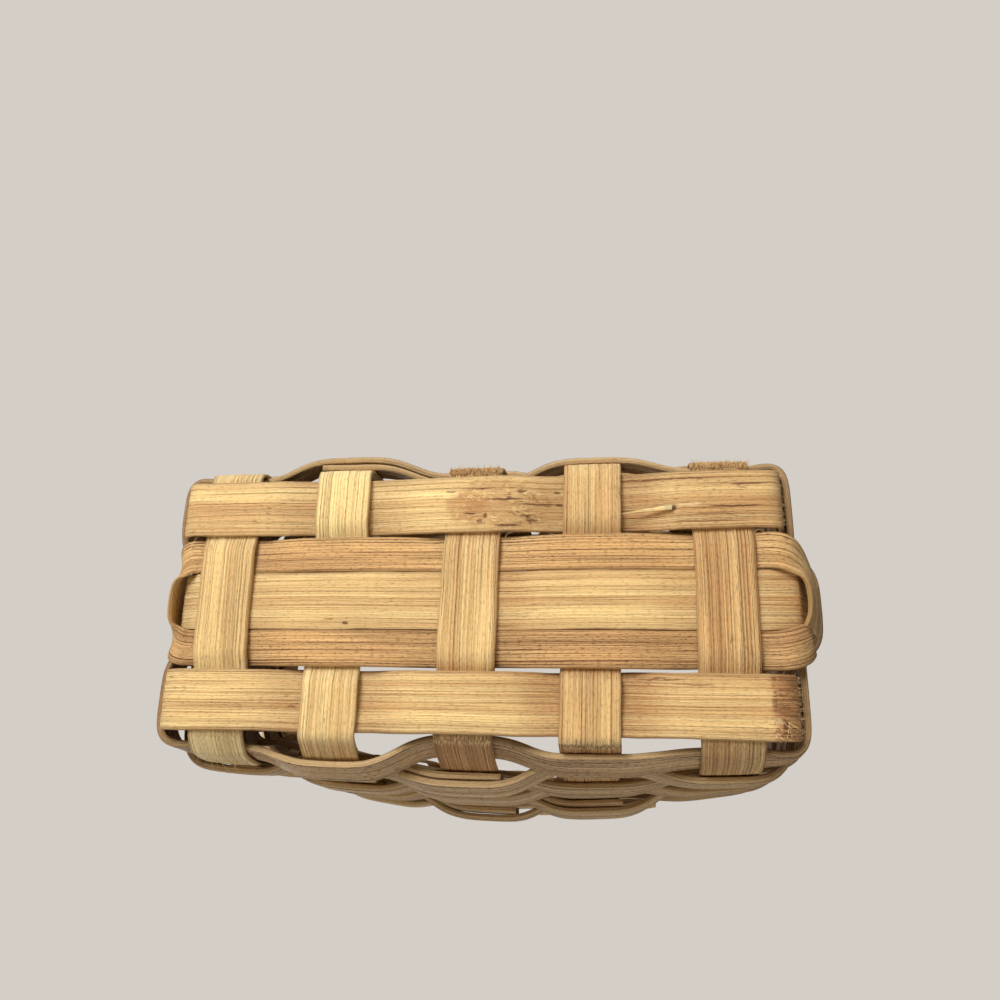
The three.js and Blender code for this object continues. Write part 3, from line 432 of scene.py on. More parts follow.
def sections_of(node, corners):
    """The cross sections of a solid strip in order, as an array of sections by corners by 3.
    All points have the same number of edges, except those of the two end sections."""
    mesh = bmesh.new()
    mesh.from_mesh(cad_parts[node].data)
    bmesh.ops.remove_doubles(mesh, verts=mesh.verts, dist=SAME_POINT)
    odd = {v for v in mesh.verts if len(v.link_edges) != INNER_EDGES}
    first = min(odd, key=lambda v: (round(v.co.z, 5), -v.co.x, v.co.y))
    group, queue = {first}, [first]
    while queue:
        for edge in queue.pop().link_edges:
            for other in edge.verts:
                if other in odd and other not in group:
                    group.add(other)
                    queue.append(other)
    ring = sorted(group, key=lambda v: (v.co - first.co).length)[:corners]
    seen, rings = set(), []
    while ring:
        rings.append([v.co.copy() for v in ring])
        seen.update(ring)
        near = {e.other_vert(v) for v in ring for e in v.link_edges}
        ring = [v for v in near if v not in seen]
    mesh.free()
    points = []
    for i, ring in enumerate(rings):
        centre = sum(ring, Vector()) / len(ring)
        ahead = rings[min(i + 1, len(rings) - 1)]
        behind = rings[max(i - 1, 0)]
        along = (sum(ahead, Vector()) - sum(behind, Vector())).normalized()
        side = (ring[0] - centre).normalized()
        other = along.cross(side)
        ring = sorted(ring, key=lambda p: math.atan2((p - centre).dot(other),
                                                     (p - centre).dot(side)))
        ring = np.array([tuple(p) for p in ring])
        if points:
            shifts = [np.roll(ring, k, axis=0) for k in range(corners)]
            ring = min(shifts, key=lambda r: np.linalg.norm(r - points[-1], axis=1).sum())
        points.append(ring)
    return np.array(points)


def unit(rows):
    return rows / np.maximum(np.linalg.norm(rows, axis=-1, keepdims=True), 1e-12)


def lengths_along(line):
    """How far each point of a line is from its start, along the line."""
    return np.concatenate(([0], np.cumsum(np.linalg.norm(np.diff(line, axis=0), axis=1))))


def run_of(node):
    """A flat strip's middle line, the ways out of and across it, its width and its thickness."""
    rings = sections_of(node, 4)
    sides = np.linalg.norm(rings[:, 1] - rings[:, 0], axis=1)
    ends = np.linalg.norm(rings[:, 2] - rings[:, 1], axis=1)
    if np.median(sides) < np.median(ends):
        rings = np.roll(rings, -1, axis=1)
    middle = rings.mean(axis=1)
    out = (rings[:, 0] + rings[:, 1] - rings[:, 2] - rings[:, 3]) / 2
    across = (rings[:, 1] + rings[:, 2] - rings[:, 0] - rings[:, 3]) / 2
    if (out * (middle - INSIDE_BASKET)).sum(axis=1).mean() < 0:
        out, across = -out, -across
    width, thickness = (np.median(np.linalg.norm(rows, axis=1)) for rows in (across, out))
    return middle, unit(out), unit(across), width, thickness


def resample(rows, knots, places):
    """Smooth values between the knots. At a knot the longer neighbour sets the slope."""
    spans = np.diff(knots)[:, None]
    rates = np.diff(rows, axis=0) / spans
    weights = spans**3
    slopes = np.concatenate((rates[:1], (rates[:-1] * weights[:-1] + rates[1:] * weights[1:])
                             / (weights[:-1] + weights[1:]), rates[-1:]))
    index = np.clip(np.searchsorted(knots, places, side="right") - 1, 0, len(knots) - 2)
    span = (knots[index + 1] - knots[index])[:, None]
    t = ((places - knots[index])[:, None]) / span
    a, b = rows[index], rows[index + 1]
    da, db = slopes[index] * span, slopes[index + 1] * span
    return (2 * t**3 - 3 * t**2 + 1) * a + (t**3 - 2 * t**2 + t) * da + (
        3 * t**2 - 2 * t**3) * b + (t**3 - t**2) * db


def evened(rows, places, reach):
    """The rows with corners rounded over a reach along the reed. Both ends keep their place."""
    step = places[1] - places[0]
    half = min(int(3 * reach / step), len(rows) - 1)
    if half < 1:
        return rows
    weights = np.exp(-0.5 * (np.arange(-half, half + 1) * step / reach) ** 2)
    weights /= weights.sum()
    padded = np.concatenate((2 * rows[0] - rows[half:0:-1], rows,
                             2 * rows[-1] - rows[-2:-half - 2:-1]))
    return np.stack([np.convolve(column, weights, mode="valid") for column in padded.T], axis=1)


def wander(places, seed, size, wave):
    """A slow change along the reed, the same on every run."""
    dice = random.Random(seed)
    total = np.zeros_like(places)
    for octave in range(OCTAVES):
        phase = dice.uniform(0, 6.28)
        total += np.sin(places / wave * (FINER**octave) + phase) / (FAINTER**octave)
    return total * size / FULL_WANDER


def turning(centre, places):
    """How sharply the reed bends at each place: 1 is a bend of about 5 mm radius or less."""
    along = unit(np.gradient(centre, places, axis=0))
    bend = np.linalg.norm(np.gradient(along, places, axis=0), axis=1) * BEND_RADIUS
    return np.clip((bend - SLIGHT_BEND) / BEND_RANGE, 0, 1)


def mesh_of(name, points, faces, material, corner_uv, **layers):
    """A piece with the reed's own map and a number at each point for every named layer."""
    mesh = bpy.data.meshes.new(name)
    mesh.from_pydata([tuple(p) for p in points], [], faces)
    layer = mesh.uv_layers.new(name="reed")
    layer.data.foreach_set("uv", np.asarray(corner_uv, dtype=np.float32).ravel())
    for key, values in layers.items():
        values = values.astype(np.float32)
        mesh.attributes.new(key, "FLOAT", "POINT").data.foreach_set("value", values)
    mesh.materials.append(material)
    mesh.shade_smooth()
    piece = bpy.data.objects.new(name, mesh)
    bpy.context.scene.collection.objects.link(piece)
    return piece


def plain_layers(count, tint=0.0):
    """The layers of a reed without edges and folds."""
    plain = np.zeros(count)
    return dict(edge=plain, rim=plain + 1, tint=plain + tint, worn=plain, fold=plain + 1)


def section_outline(width, thickness, radius):
    """The outline of a strip with rounded edges: (share of half the width, inset, rise, edge)."""
    flat = thickness / 2
    outline = []
    for side, spacing in ((1, TOP_SPACING), (-1, UNDER_SPACING)):
        faces_wide = max(4, round(width / spacing))
        for i in range(faces_wide + 1):
            outline.append((side * (2 * i / faces_wide - 1), radius, side * flat, 0.0))
        for i in range(1, ARC_POINTS + 1):
            angle = math.pi * i / (ARC_POINTS + 1)
            inset = radius * (1 - math.sin(angle))
            outline.append((side, inset, side * math.cos(angle) * flat, 1.0))
    return outline


def tube_faces(rows, count):
    """Quads between rows of points, and the two end faces. All of them look outwards."""
    faces = [(i * count + j, i * count + (j + 1) % count, (i + 1) * count + (j + 1) % count,
              (i + 1) * count + j) for i in range(rows - 1) for j in range(count)]
    last = (rows - 1) * count
    return faces + [tuple(range(count))[::-1], tuple(range(last, last + count))]


def tube_uv(places, girth, seed):
    """Metres along and round the reed at each face corner; girth has one more entry than a row."""
    along = places + seed * UV_ALONG
    round_it = girth + seed * UV_ROUND
    rows, count = len(places), len(girth) - 1
    uv = np.empty((rows - 1, count, 4, 2))
    uv[:, :, 0, 0] = uv[:, :, 1, 0] = along[:-1, None]
    uv[:, :, 2, 0] = uv[:, :, 3, 0] = along[1:, None]
    uv[:, :, 0, 1] = uv[:, :, 3, 1] = round_it[None, :-1]
    uv[:, :, 1, 1] = uv[:, :, 2, 1] = round_it[None, 1:]
    ends = [np.stack((np.full(count, along[end]), round_it[:-1]), axis=1) for end in (0, -1)]
    return np.concatenate((uv.reshape(-1, 2), ends[0][::-1], ends[1]))


def fold_places(centre, places, bend, frays, axis):
    """How worn each place is by the fold at the base that it is near, and how far that fold is."""
    worn, fold = np.zeros(len(places)), np.ones(len(places))
    for fray, side in zip(frays, (centre[:, axis] > 0, centre[:, axis] < 0)):
        low = side & (centre[:, 2] < FOLD_TOP)
        if fray and low.any():
            peak = places[np.argmax(bend * low)]
            near = np.abs(places - peak) < FOLD_REACH
            worn[near], fold[near] = fray, (places - peak)[near]
    return worn, fold


def painted_wall_shade(centre, axis, wall):
    """Painted shade on the part that stands up, as a change of its tone. It comes between 1 and 3
    mm, goes for the most part between 12 and 32 mm, and is half as strong on the plus side of the
    axis."""
    rise = centre[:, 2] / MM
    comes = np.clip((rise - 1) / 2, 0, 1)
    goes = 0.7 * np.clip((rise - 12) / 20, 0, 1)
    return wall * comes * (1 - goes) * np.where(centre[:, axis] < 0, 1, 0.5)


def strip(name, node, material, seed, step=1.15 * MM, crown=0.12 * MM, ragged=0.22 * MM,
          sheared=False, tints=((0.0, 0.0),), radius=0.46 * MM, relief=0.045 * MM, even=0.0,
          wider=0.0, frays=(0.0, 0.0), axis=1, wall=0.0):
    """The fine surface of one flat reed, over the run of its solid. frays says how much its folds
    are worn on the plus and the minus side of the axis, tints are tones at places on that axis,
    some of them painted shade, and wall is a painted shade on the part that stands up, given as a
    change of tone."""
    middle, out, across, width, thickness = run_of(node)
    knots = lengths_along(middle)
    places = np.linspace(0, knots[-1], max(int(knots[-1] / step), 2))
    centre = evened(resample(middle, knots, places), places, even)
    out = unit(evened(resample(out, knots, places), places, even))
    across = unit(evened(resample(across, knots, places), places, even))
    if not sheared:
        along = unit(np.gradient(centre, places, axis=0))
        across = unit(across - along * (across * along).sum(axis=1, keepdims=True))
        out = np.cross(across, along)
    left, right = (width / 2 + wander(places, seed * 7 + k, ragged, SIDE_WAVE) - SIDE_INSET + wider
                   for k in (1, 2))
    lift = wander(places, seed * 7 + 3, LIFT, LIFT_WAVE)
    tone = wander(places, seed * 7 + 4, TONE_CHANGE, TONE_WAVE)
    tone += np.interp(centre[:, axis], *zip(*tints))
    # Painted shade on the walls, as more tone
    tone += painted_wall_shade(centre, axis, wall)
    bend = turning(centre, places)
    worn, fold = fold_places(centre, places, bend, frays, axis)

    dice = random.Random(seed * 31 + 5)
    points, edges, rims, girth = [], [], [], [0.0]
    outline = section_outline(width, thickness, min(radius, thickness * MOST_ROUNDED))
    for column, (share, inset, rise, edge) in enumerate(outline):
        half = right if share > 0 else left
        spread = share * (half - inset)
        bow = crown * (1 - share * share) * (1 if rise > 0 else UNDER_CROWN)
        if not edge and abs(share) < 1:
            ridge = wander(places, seed * 131 + column, relief, RIDGE_WAVE)
            ridge = ridge + dice.uniform(-1, 1) * relief
            rough = np.array([dice.uniform(-1, 1) for _ in places]) * worn * bend * FOLD_ROUGH * MM
            bow = bow + (ridge + rough) * (1 if rise > 0 else -1)
        points.append(centre + across * spread[:, None] + out * (rise + bow + lift)[:, None])
        edges.append(np.full(len(places), edge))
        rims.append(half - np.abs(spread))
    for column in range(len(outline)):
        ahead = points[(column + 1) % len(outline)]
        girth.append(girth[-1] + float(np.median(np.linalg.norm(ahead - points[column], axis=1))))
    points = np.stack(points, axis=1).reshape(-1, 3)
    piece = mesh_of(name, points, tube_faces(len(places), len(outline)), material,
                    tube_uv(places, np.array(girth), seed),
                    edge=np.stack(edges, axis=1).ravel(), rim=np.stack(rims, axis=1).ravel(),
                    tint=np.repeat(tone, len(outline)), worn=np.repeat(worn, len(outline)),
                    fold=np.repeat(fold, len(outline)))
    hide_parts(node)
    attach(piece, "root")
    return {"centre": centre, "out": out, "across": across, "half": width / 2,
            "face": thickness / 2}


def round_strip(name, node, corners, material, seed):
    """The fine surface of a round reed, over the run of its solid."""
    rings = sections_of(node, corners)
    knots = lengths_along(rings.mean(axis=1))
    places = np.linspace(0, knots[-1], max(int(knots[-1] / ROUND_STEP), 2))
    loops = resample(rings.reshape(len(rings), -1), knots, places)
    loops = loops.reshape(len(places), corners, 3)
    centre = loops.mean(axis=1)
    points = []
    wave = np.fft.rfft(loops - centre[:, None], axis=1)[:, 1]
    grow = 1 / np.sinc(1 / corners) * 2 / corners
    for j in range(ROUND_SIDES):
        angle = 2 * math.pi * j / ROUND_SIDES
        spoke = (wave * np.exp(1j * angle)).real * grow
        swell = 1 + wander(places, seed * 5 + j, SWELL, SWELL_WAVE)
        points.append(centre + spoke * swell[:, None])
    points = np.stack(points, axis=1).reshape(-1, 3)
    girth = np.arange(ROUND_SIDES + 1) * ROUND_SPACING
    piece = mesh_of(name, points, tube_faces(len(places), ROUND_SIDES), material,
                    tube_uv(places, girth, seed), **plain_layers(len(points)))
    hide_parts(node)
    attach(piece, "root")


# Loose fibres of worn folds and of the reeds' edges

ASKEW = (0.31, 0.77, 0.55)
FOLD_ROWS, FOLD_COLUMNS, FOLD_SHARE, ABOVE_FACE = 5, 9, 0.94, 0.02 * MM
HAIR_TAPER = 0.6
SLIVER_BOW, SLIVER_ROOT, SLIVER_TINT = (0, 0.1, 0.12), 0.12, -0.15


def fibre_tree():
    """Short curved fibres, thinner towards their tips, that stand on a patch of reed."""
    tree = bpy.data.node_groups.new("loose_fibres", "GeometryNodeTree")
    add_sockets(tree, ("Patch",), "NodeSocketGeometry")
    add_sockets(tree, ("Density", "Shortest", "Longest", "Thickness", "Spread", "Curl"),
                "NodeSocketFloat")
    add_sockets(tree, ("Seed",), "NodeSocketInt")
    add_sockets(tree, ("Material",), "NodeSocketMaterial")
    add_sockets(tree, ("Fibres",), "NodeSocketGeometry", "OUTPUT")
    given = tree.nodes.new("NodeGroupInput").outputs

    def dice(shift, low, high, kind="FLOAT"):
        """A random number for each fibre, or a random vector."""
        first, output = (0, 0) if kind == "FLOAT_VECTOR" else (2, 1)
        seed = plus(tree, given["Seed"], shift)
        return value_of(tree, "FunctionNodeRandomValue",
                        {first: low, first + 1: high, "Seed": seed}, output=output, data_type=kind)

    def free_vector(shift, spread):
        return scaled_vector(tree, dice(shift, (-1, -1, -1), (1, 1, 1), "FLOAT_VECTOR"), spread)

    def named(name, kind):
        return value_of(tree, "GeometryNodeInputNamedAttribute", {"Name": name}, data_type=kind)

    def kept(geometry, name, kind, value):
        return value_of(tree, "GeometryNodeStoreNamedAttribute",
                        {"Geometry": geometry, "Name": name, "Value": value}, data_type=kind)

    roots = value_of(tree, "GeometryNodeDistributePointsOnFaces",
                     {"Mesh": given["Patch"], "Density": given["Density"], "Seed": given["Seed"]})
    reach = dice(3.0, given["Shortest"], given["Longest"])
    lead = vector(tree, "ADD", named("way", "FLOAT_VECTOR"), free_vector(7.0, given["Spread"]))
    roots = kept(roots, "reach", "FLOAT", reach)
    roots = kept(roots, "tone", "FLOAT", dice(5.0, 0.0, 1.0))
    roots = kept(roots, "lead", "FLOAT_VECTOR", vector(tree, "NORMALIZE", lead))
    roots = kept(roots, "bend", "FLOAT_VECTOR", free_vector(9.0, given["Curl"]))
    cone = value_of(tree, "GeometryNodeMeshCone",
                    {"Vertices": 4, "Side Segments": 5, "Radius Top": 0.25, "Radius Bottom": 1.0,
                     "Depth": 1.0})
    cone = kept(cone, "shape", "FLOAT_VECTOR", value_of(tree, "GeometryNodeInputPosition"))
    fibres = value_of(tree, "GeometryNodeInstanceOnPoints", {"Points": roots, "Instance": cone})
    fibres = value_of(tree, "GeometryNodeRealizeInstances", {"Geometry": fibres})

    shape, lead = named("shape", "FLOAT_VECTOR"), named("lead", "FLOAT_VECTOR")
    x, y, z = new_node(tree, "ShaderNodeSeparateXYZ", {0: shape}).outputs
    side = vector(tree, "NORMALIZE", vector(tree, "CROSS_PRODUCT", lead, ASKEW))
    other = vector(tree, "CROSS_PRODUCT", lead, side)
    far = times(tree, z, named("reach", "FLOAT"))
    bend = scaled_vector(tree, named("bend", "FLOAT_VECTOR"), times(tree, far, z))
    place = vector(tree, "SUBTRACT", value_of(tree, "GeometryNodeInputPosition"), shape)
    place = vector(tree, "ADD", place, scaled_vector(tree, lead, far))
    place = vector(tree, "ADD", place, bend)
    for way, part in ((side, x), (other, y)):
        thick = times(tree, part, given["Thickness"])
        place = vector(tree, "ADD", place, scaled_vector(tree, way, thick))
    fibres = value_of(tree, "GeometryNodeSetPosition", {"Geometry": fibres, "Position": place})
    fibres = value_of(tree, "GeometryNodeSetMaterial",
                      {"Geometry": fibres, "Material": given["Material"]})
    tree.links.new(fibres, tree.nodes.new("NodeGroupOutput").inputs["Fibres"])
    return tree


def fibre_material():
    material = bpy.data.materials.new("loose_fibre")
    material.use_nodes = True
    tree = material.node_tree
    shader = tree.nodes["Principled BSDF"]
    dark_share = step_up(tree, attribute(tree, "tone"), 0.40, 1.1)
    colour = blend_colour(tree, dark_share, (0.92, 0.67, 0.35), (0.42, 0.22, 0.085))
    tree.links.new(colour, shader.inputs["Base Color"])
    shader.inputs["Roughness"].default_value = 0.6
    shader.inputs["Specular IOR Level"].default_value = 0.3
    return material


FIBRES = fibre_tree()
FIBRE = fibre_material()


def loose_fibres(name, points, ways, columns, seed, **given):
    """Fibres on a patch: a grid of points with the way that the fibres point at each of them."""
    rows = len(points) // columns
    faces = [(i * columns + j, i * columns + j + 1, (i + 1) * columns + j + 1,
              (i + 1) * columns + j) for i in range(rows - 1) for j in range(columns - 1)]
    patch = bpy.data.meshes.new(name)
    patch.from_pydata([tuple(p) for p in points], [], faces)
    way = patch.attributes.new("way", "FLOAT_VECTOR", "POINT")
    way.data.foreach_set("vector", np.ravel(ways))
    piece = bpy.data.objects.new(name, patch)
    bpy.context.scene.collection.objects.link(piece)
    modifier = piece.modifiers.new("fibres", "NODES")
    modifier.node_group = FIBRES
    given.update(Seed=seed, Material=FIBRE)
    for item in FIBRES.interface.items_tree:
        if item.name in given:
            modifier[item.identifier] = given[item.name]
    grown = piece.evaluated_get(bpy.context.evaluated_depsgraph_get())
    done = bpy.data.meshes.new_from_object(grown)
    piece.modifiers.clear()
    piece.data = done
    done.shade_smooth()
    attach(piece, "root")


def fold_fibres(name, run, axis, sign, seed, reach, up, height=None, **given):
    """Fibres on a worn fold of a strip, or at a height of its wall, on the given side of the base.
    reach is in mm along the reed from the fold."""
    centre = run["centre"]
    step = np.linalg.norm(centre[1] - centre[0])
    bend = turning(centre, np.arange(len(centre)) * step)
    low = (centre[:, axis] * sign > 0) & (centre[:, 2] < FOLD_TOP)
    peak = int(np.argmax(bend * low))
    if height is not None:
        peak = int(np.argmin(np.abs(centre[:, 2] - height) + (centre[:, axis] * sign < 0)))
    along = unit(np.gradient(centre, axis=0))
    rise = np.sign(along[peak, 2])
    ends = peak + rise * np.array(reach) * MM / step
    shares = np.linspace(-FOLD_SHARE, FOLD_SHARE, FOLD_COLUMNS)
    tracks = dict(centre=centre, out=run["out"], across=run["across"], along=along)
    points, ways = [], []
    for i in np.linspace(*ends, FOLD_ROWS):
        here = {key: np.array([np.interp(i, np.arange(len(centre)), rows[:, k]) for k in range(3)])
                for key, rows in tracks.items()}
        for share in shares:
            points.append(here["centre"] + here["across"] * share * run["half"]
                          + here["out"] * (run["face"] + ABOVE_FACE))
            ways.append(unit(here["out"] + here["along"] * rise * up))
    loose_fibres(name, np.array(points), np.array(ways), FOLD_COLUMNS, seed, **given)


def curve_through(a, b, c, count):
    """Points along a bow from a over b to c, which are in mm."""
    t = np.linspace(0, 1, count)[:, None]
    a, b, c = (np.array(p) * MM for p in (a, b, c))
    return (1 - t) ** 2 * a + 2 * t * (1 - t) * (2 * b - (a + c) / 2) + t**2 * c


def stray_hairs(name, hairs, material, sides=4, count=9):
    """Single long fibres in one piece: (start, middle, end, thickness, tone), in mm."""
    points, faces, tones = [], [], []
    for start, middle, end, thick, tone in hairs:
        line = curve_through(start, middle, end, count)
        along = unit(np.gradient(line, axis=0))
        side = unit(np.cross(along, ASKEW))
        other = np.cross(along, side)
        first = len(points)
        for i in range(count):
            girth = thick / 2 * MM * (1 - HAIR_TAPER * i / count)
            for j in range(sides):
                angle = 2 * math.pi * j / sides
                spoke = side[i] * math.cos(angle) + other[i] * math.sin(angle)
                points.append(line[i] + spoke * girth)
        faces += [tuple(first + k for k in f) for f in tube_faces(count, sides)]
        tones += [tone] * (count * sides)
    uv = np.zeros((sum(len(f) for f in faces), 2))
    piece = mesh_of(name, points, faces, material, uv, tone=np.array(tones))
    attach(piece, "root")


def sliver(name, start, end, wide, thick, material, seed=91, count=9):
    """A split-off sliver that widens and lifts towards its free end. Places and sizes in mm."""
    middle = [(a + b) / 2 + bow for a, b, bow in zip(start, end, SLIVER_BOW)]
    line = curve_through(start, middle, end, count)
    along = unit(np.gradient(line, axis=0))
    side = unit(np.cross(along, (0, 0, 1)))
    out = np.cross(side, along)
    grow = np.linspace(SLIVER_ROOT, 1, count)[:, None]
    corners = ((-1, -1), (1, -1), (1, 1), (-1, 1))
    points = np.stack([line + side * grow * a * wide / 2 * MM + out * b * thick / 2 * MM
                       for a, b in corners], axis=1).reshape(-1, 3)
    girth = np.array([0, wide, wide + thick, 2 * wide + thick, 2 * (wide + thick)]) * MM
    piece = mesh_of(name, points, tube_faces(count, 4), material,
                    tube_uv(lengths_along(line), girth, seed),
                    **plain_layers(len(points), SLIVER_TINT))
    piece.data.shade_flat()
    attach(piece, "root")


# Floor, backdrop and light

WARM_WHITE = (1.0, 0.985, 0.96)
FLOOR_COLOUR, FLOOR_GLOW, BACKDROP = (0.66, 0.62, 0.57), (0.64, 0.60, 0.555), (0.655, 0.617, 0.570)
GLOW_SHARE, ROOM_STRENGTH = 0.6, 0.10
LAMPS_AIM = Vector((0, 0, 0.04))
LAMPS = (
    ("lamp_key", (0.42, 0.72, -0.85), 0.6, 14.0),
    ("lamp_front", (-0.25, -0.95, -0.55), 0.8, 4.2),
    ("lamp_over", (0.75, -0.25, 0.95), 0.7, 5.0),
    ("lamp_back", (-0.35, 1.05, 0.16), 0.7, 4.0),
    ("lamp_brow", (0.40, -0.95, 0.30), 0.7, 1.0),
)


def add_floor(half=3, drop=0.0006):
    """A pale floor just under the base: the view from below and the light pass through it."""
    mesh = bpy.data.meshes.new("floor")
    mesh.from_pydata([(-half, -half, 0), (half, -half, 0), (half, half, 0), (-half, half, 0)], [],
                     [(0, 1, 2, 3)])
    floor = bpy.data.objects.new("floor", mesh)
    floor.location.z = -drop
    bpy.context.scene.collection.objects.link(floor)
    material = bpy.data.materials.new("pale_floor")
    material.use_nodes = True
    tree = material.node_tree
    shader = tree.nodes["Principled BSDF"]
    shader.inputs["Base Color"].default_value = (*FLOOR_COLOUR, 1)
    shader.inputs["Roughness"].default_value = 0.9
    shader.inputs["Specular IOR Level"].default_value = 0.1
    clear = value_of(tree, "ShaderNodeBsdfTransparent")
    backfacing = value_of(tree, "ShaderNodeNewGeometry", output="Backfacing")
    rays = tree.nodes.new("ShaderNodeLightPath").outputs
    glow = value_of(tree, "ShaderNodeEmission", {"Color": (*FLOOR_GLOW, 1), "Strength": 1.0})
    glow_share = times(tree, rays["Is Camera Ray"], GLOW_SHARE)
    seen = value_of(tree, "ShaderNodeMixShader", {0: glow_share, 1: shader.outputs[0], 2: glow})
    clear_share = number(tree, "MAXIMUM", backfacing, rays["Is Shadow Ray"])
    mixed = value_of(tree, "ShaderNodeMixShader", {0: clear_share, 1: seen, 2: clear})
    tree.links.new(mixed, tree.nodes["Material Output"].inputs["Surface"])
    material.cycles.emission_sampling = "NONE"
    mesh.materials.append(material)


def add_room():
    """A dim, even room whose background looks pale to the camera."""
    world = bpy.data.worlds.new("pale_room")
    world.use_nodes = True
    tree = world.node_tree
    room = tree.nodes["Background"]
    room.inputs["Color"].default_value = (*WARM_WHITE, 1)
    room.inputs["Strength"].default_value = ROOM_STRENGTH
    seen = value_of(tree, "ShaderNodeBackground", {"Color": (*BACKDROP, 1), "Strength": 1.0})
    camera = value_of(tree, "ShaderNodeLightPath", output="Is Camera Ray")
    mixed = value_of(tree, "ShaderNodeMixShader", {0: camera, 1: room.outputs[0], 2: seen})
    tree.links.new(mixed, tree.nodes["World Output"].inputs["Surface"])
    bpy.context.scene.world = world


def add_lamp(name, place, size, power):
    data = bpy.data.lights.new(name, "AREA")
    data.size = size
    data.energy = power
    data.color = WARM_WHITE
    light = bpy.data.objects.new(name, data)
    light.location = place
    light.rotation_euler = (LAMPS_AIM - light.location).to_track_quat("-Z", "Y").to_euler()
    bpy.context.scene.collection.objects.link(light)


add_camera()
add_floor()
add_room()
for lamp in LAMPS:
    add_lamp(*lamp)
bpy.context.scene.view_settings.view_transform = "Standard"


# The reeds. Tones at places run from front to back for the crosswise reeds, and from the right end
# to the left end for the others

CROSS_TONES = (
    ((-0.045, -0.02), (0.0, 0.08), (0.04, 0.10)),
    ((-0.045, 0.06), (-0.03, 0.02), (0.0, -0.2), (0.04, -0.34)),
    ((-0.037, 0.20), (0.0, 0.17), (0.04, 0.14)),
    ((-0.035, 0.25), (0.04, 0.29)),
    ((-0.035, 0.28), (0.0, 0.32), (0.04, 0.36)),
)
# Painted shade on each crosswise reed's wall, as a change of tone
CROSS_WALL_SHADES = (-0.15, 0.4, 1.0, 0.8, 0.2)
CROSS_FRAYS = ((0.0, 0.3), (0.0, 0.0), (1.0, 0.8), (0.0, 0.9), (1.0, 0.3))
ROWS = (
    ("back", STAINED_AND_SHADOWED, (0.0, 0.4),
     ((-0.08, 0.34), (-0.05, 0.22), (-0.02, -0.06), (0.03, -0.09), (0.08, 0.08))),
    ("middle", KNOTTED_SHADED_EDGES, (0.1, 0.2), ((-0.08, 0.02), (0.08, -0.14))),
    # The front row's right end, beyond its crease at -0.0768, is darker: painted shade on the end
    # that turns up
    ("front", CREASED, (0.0, 0.5), ((-0.0792, 0.86), (-0.0768, 0.04), (0.0, 0.06), (0.08, 0.18))),
)
FILLER_TONES = ((-0.02, 0.16), (-0.008, 0.14), (0.008, -0.10), (0.02, -0.12))
COURSE_TONES = ((-0.088, 0.6), (-0.07, 0.0), (0.04, 0.0), (0.07, 0.15), (0.088, 0.9))

cross = [strip(f"crosswise_reed_{i}", f"crosswise_stake_{i}", STAKE, i,
               tints=CROSS_TONES[i - 1], frays=CROSS_FRAYS[i - 1], wall=CROSS_WALL_SHADES[i - 1])
         for i in range(1, 6)]
# wall=0.5 paints shade on the rows' end walls
rows = [strip(f"lengthwise_reed_{row}", f"lengthwise_stake_{row}", material, seed,
              tints=tints, frays=frays, axis=0, wall=0.5, wider=0.22 * MM)
        for seed, (row, material, frays, tints) in enumerate(ROWS, 11)]
strip("filler_reed", "base_filler_reed", FILLER, 21, ragged=0.1 * MM,
      wider=0.34 * MM, even=2.4 * MM, tints=FILLER_TONES)
for i in range(1, 10):
    strip(f"course_reed_{i}", f"weaver_course_{i}", WEAVER, 30 + i, even=3.5 * MM,
          wider=0.35 * MM, ragged=0.30 * MM, relief=0.07 * MM, crown=0.06 * MM, axis=0,
          tints=COURSE_TONES)
for seed, side in enumerate(("outer", "inner"), 50):
    strip(f"rim_reed_{side}", f"rim_band_{side}", RIM, seed, crown=0.35 * MM,
          radius=0.8 * MM, even=2.5 * MM)
for seed, side in enumerate(("front", "back"), 60):
    round_strip(f"rim_core_{side}", f"rim_filler_{side}", 6, RIM, seed)
strip("rim_wrapping", "rim_lashing", LASHING, 70, step=0.9 * MM,
      ragged=0.1 * MM, crown=0.05 * MM, sheared=True, relief=0.02 * MM)
round_strip("loop_reed", "hanging_loop", 8, RIM, 80)

# The fibres. Density is per square metre

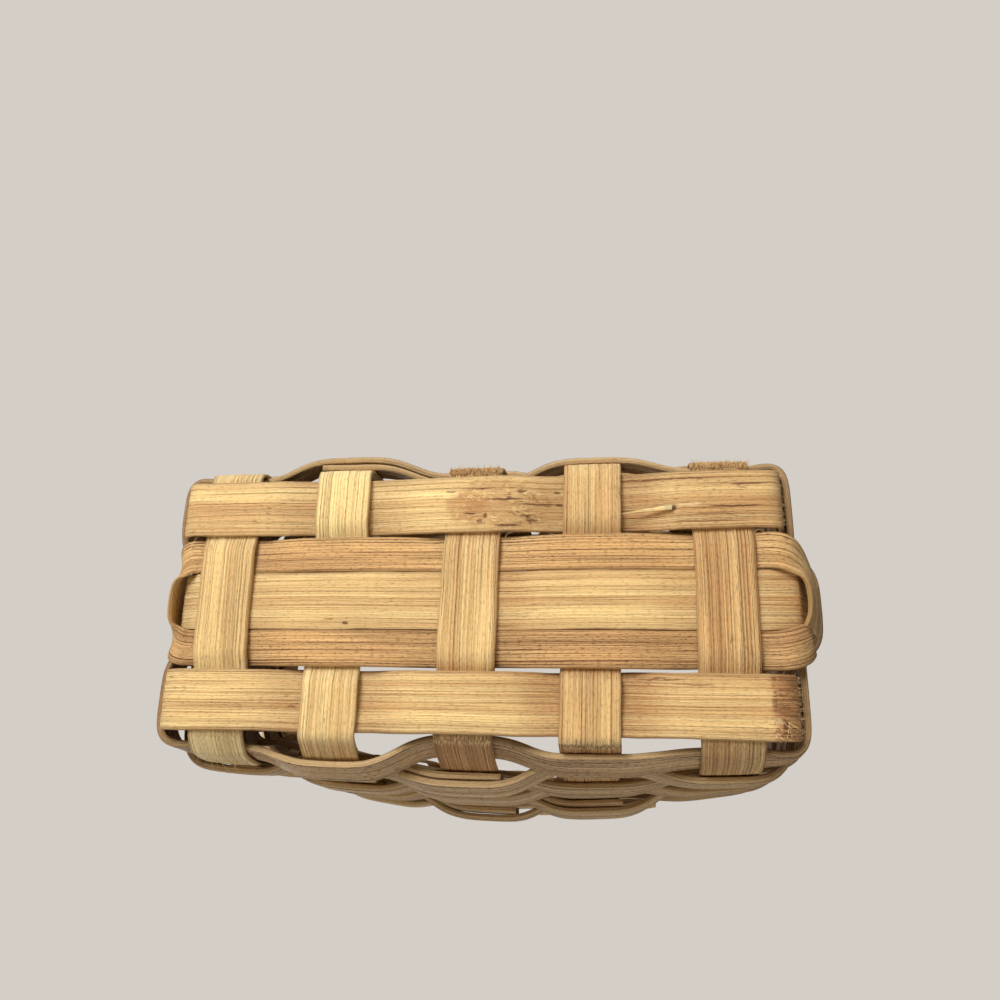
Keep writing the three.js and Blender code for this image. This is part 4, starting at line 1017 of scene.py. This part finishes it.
BRUSH = dict(up=0.2, reach=(-0.8, 1.6), Density=1.0e7, Shortest=0.4 * MM, Longest=1.5 * MM,
             Thickness=0.085 * MM, Spread=0.9, Curl=0.5)
STUBS = dict(Density=4.0e6, Shortest=0.4 * MM, Longest=1.1 * MM, Thickness=0.07 * MM, Spread=0.8,
             Curl=0.6)
FRINGE = dict(up=1.6, reach=(-0.7, 0.7), height=9 * MM, Density=1.6e6, Shortest=0.8 * MM,
              Longest=2.6 * MM, Thickness=0.09 * MM, Spread=0.5, Curl=1.0)
CURLS = dict(Density=1.1e6, Shortest=0.8 * MM, Longest=3.2 * MM, Thickness=0.10 * MM, Spread=0.9,
             Curl=1.1)
fold_fibres("brush_back_3", cross[2], 1, 1, 301, **BRUSH)
fold_fibres("brush_back_5", cross[4], 1, 1, 302, **BRUSH)
fold_fibres("stubs_front_3", cross[2], 1, -1, 303, up=0.9, reach=(-0.5, 0.5), **STUBS)
fold_fibres("stubs_front_4", cross[3], 1, -1, 304, up=0.9, reach=(-0.5, 0.5), **STUBS)
fold_fibres("fringe_front_1", cross[0], 1, -1, 307, **FRINGE)
corner = np.array([(x, y, -0.15) for x in np.linspace(-76.6, -81.0, 5)
                   for y in np.linspace(-29.8, -34.2, 5)])
outwards = unit(np.array((-0.6, -0.6, -0.3)))
loose_fibres("curls_front_row", corner * MM, np.tile(outwards, (len(corner), 1)), 5, 308, **CURLS)
fold_fibres("stubs_front_row", rows[2], 0, -1, 305, up=0.7, reach=(-0.8, 0.8), **STUBS)
fold_fibres("stubs_back_row", rows[0], 0, -1, 306, up=0.7, reach=(-0.6, 0.6), **STUBS)
stray_hairs("stray_hairs", (
    ((-19.1, 21.3, -0.6), (-22.8, 24.8, -1.1), (-24.8, 29.1, -0.7), 0.10, 0.9),
    ((-9.8, 17.0, 0.2), (-10.6, 18.0, -0.4), (-11.9, 18.4, -0.2), 0.14, 0.0),
    ((80.6, 18.9, 1.0), (82.0, 16.6, 0.6), (82.4, 14.0, 1.4), 0.14, 0.0),
    ((78.8, 15.6, 1.0), (81.6, 16.2, 0.4), (83.9, 17.6, 1.2), 0.12, 0.1),
    ((-76.0, 17.3, 0.6), (-77.2, 18.3, 0.0), (-78.6, 17.4, 0.6), 0.14, 0.0),
    ((81.5, -17.4, 1.0), (80.2, -16.6, 0.4), (79.4, -15.7, 0.9), 0.12, 0.0),
    ((2.6, 19.6, -0.5), (-0.4, 18.6, -0.7), (-3.9, 18.2, -0.3), 0.10, 0.8),
), FIBRE)
sliver("lifted_sliver", (-41.7, 23.2, -0.05), (-55.0, 24.7, -0.60), 1.35, 0.28, STAKE)
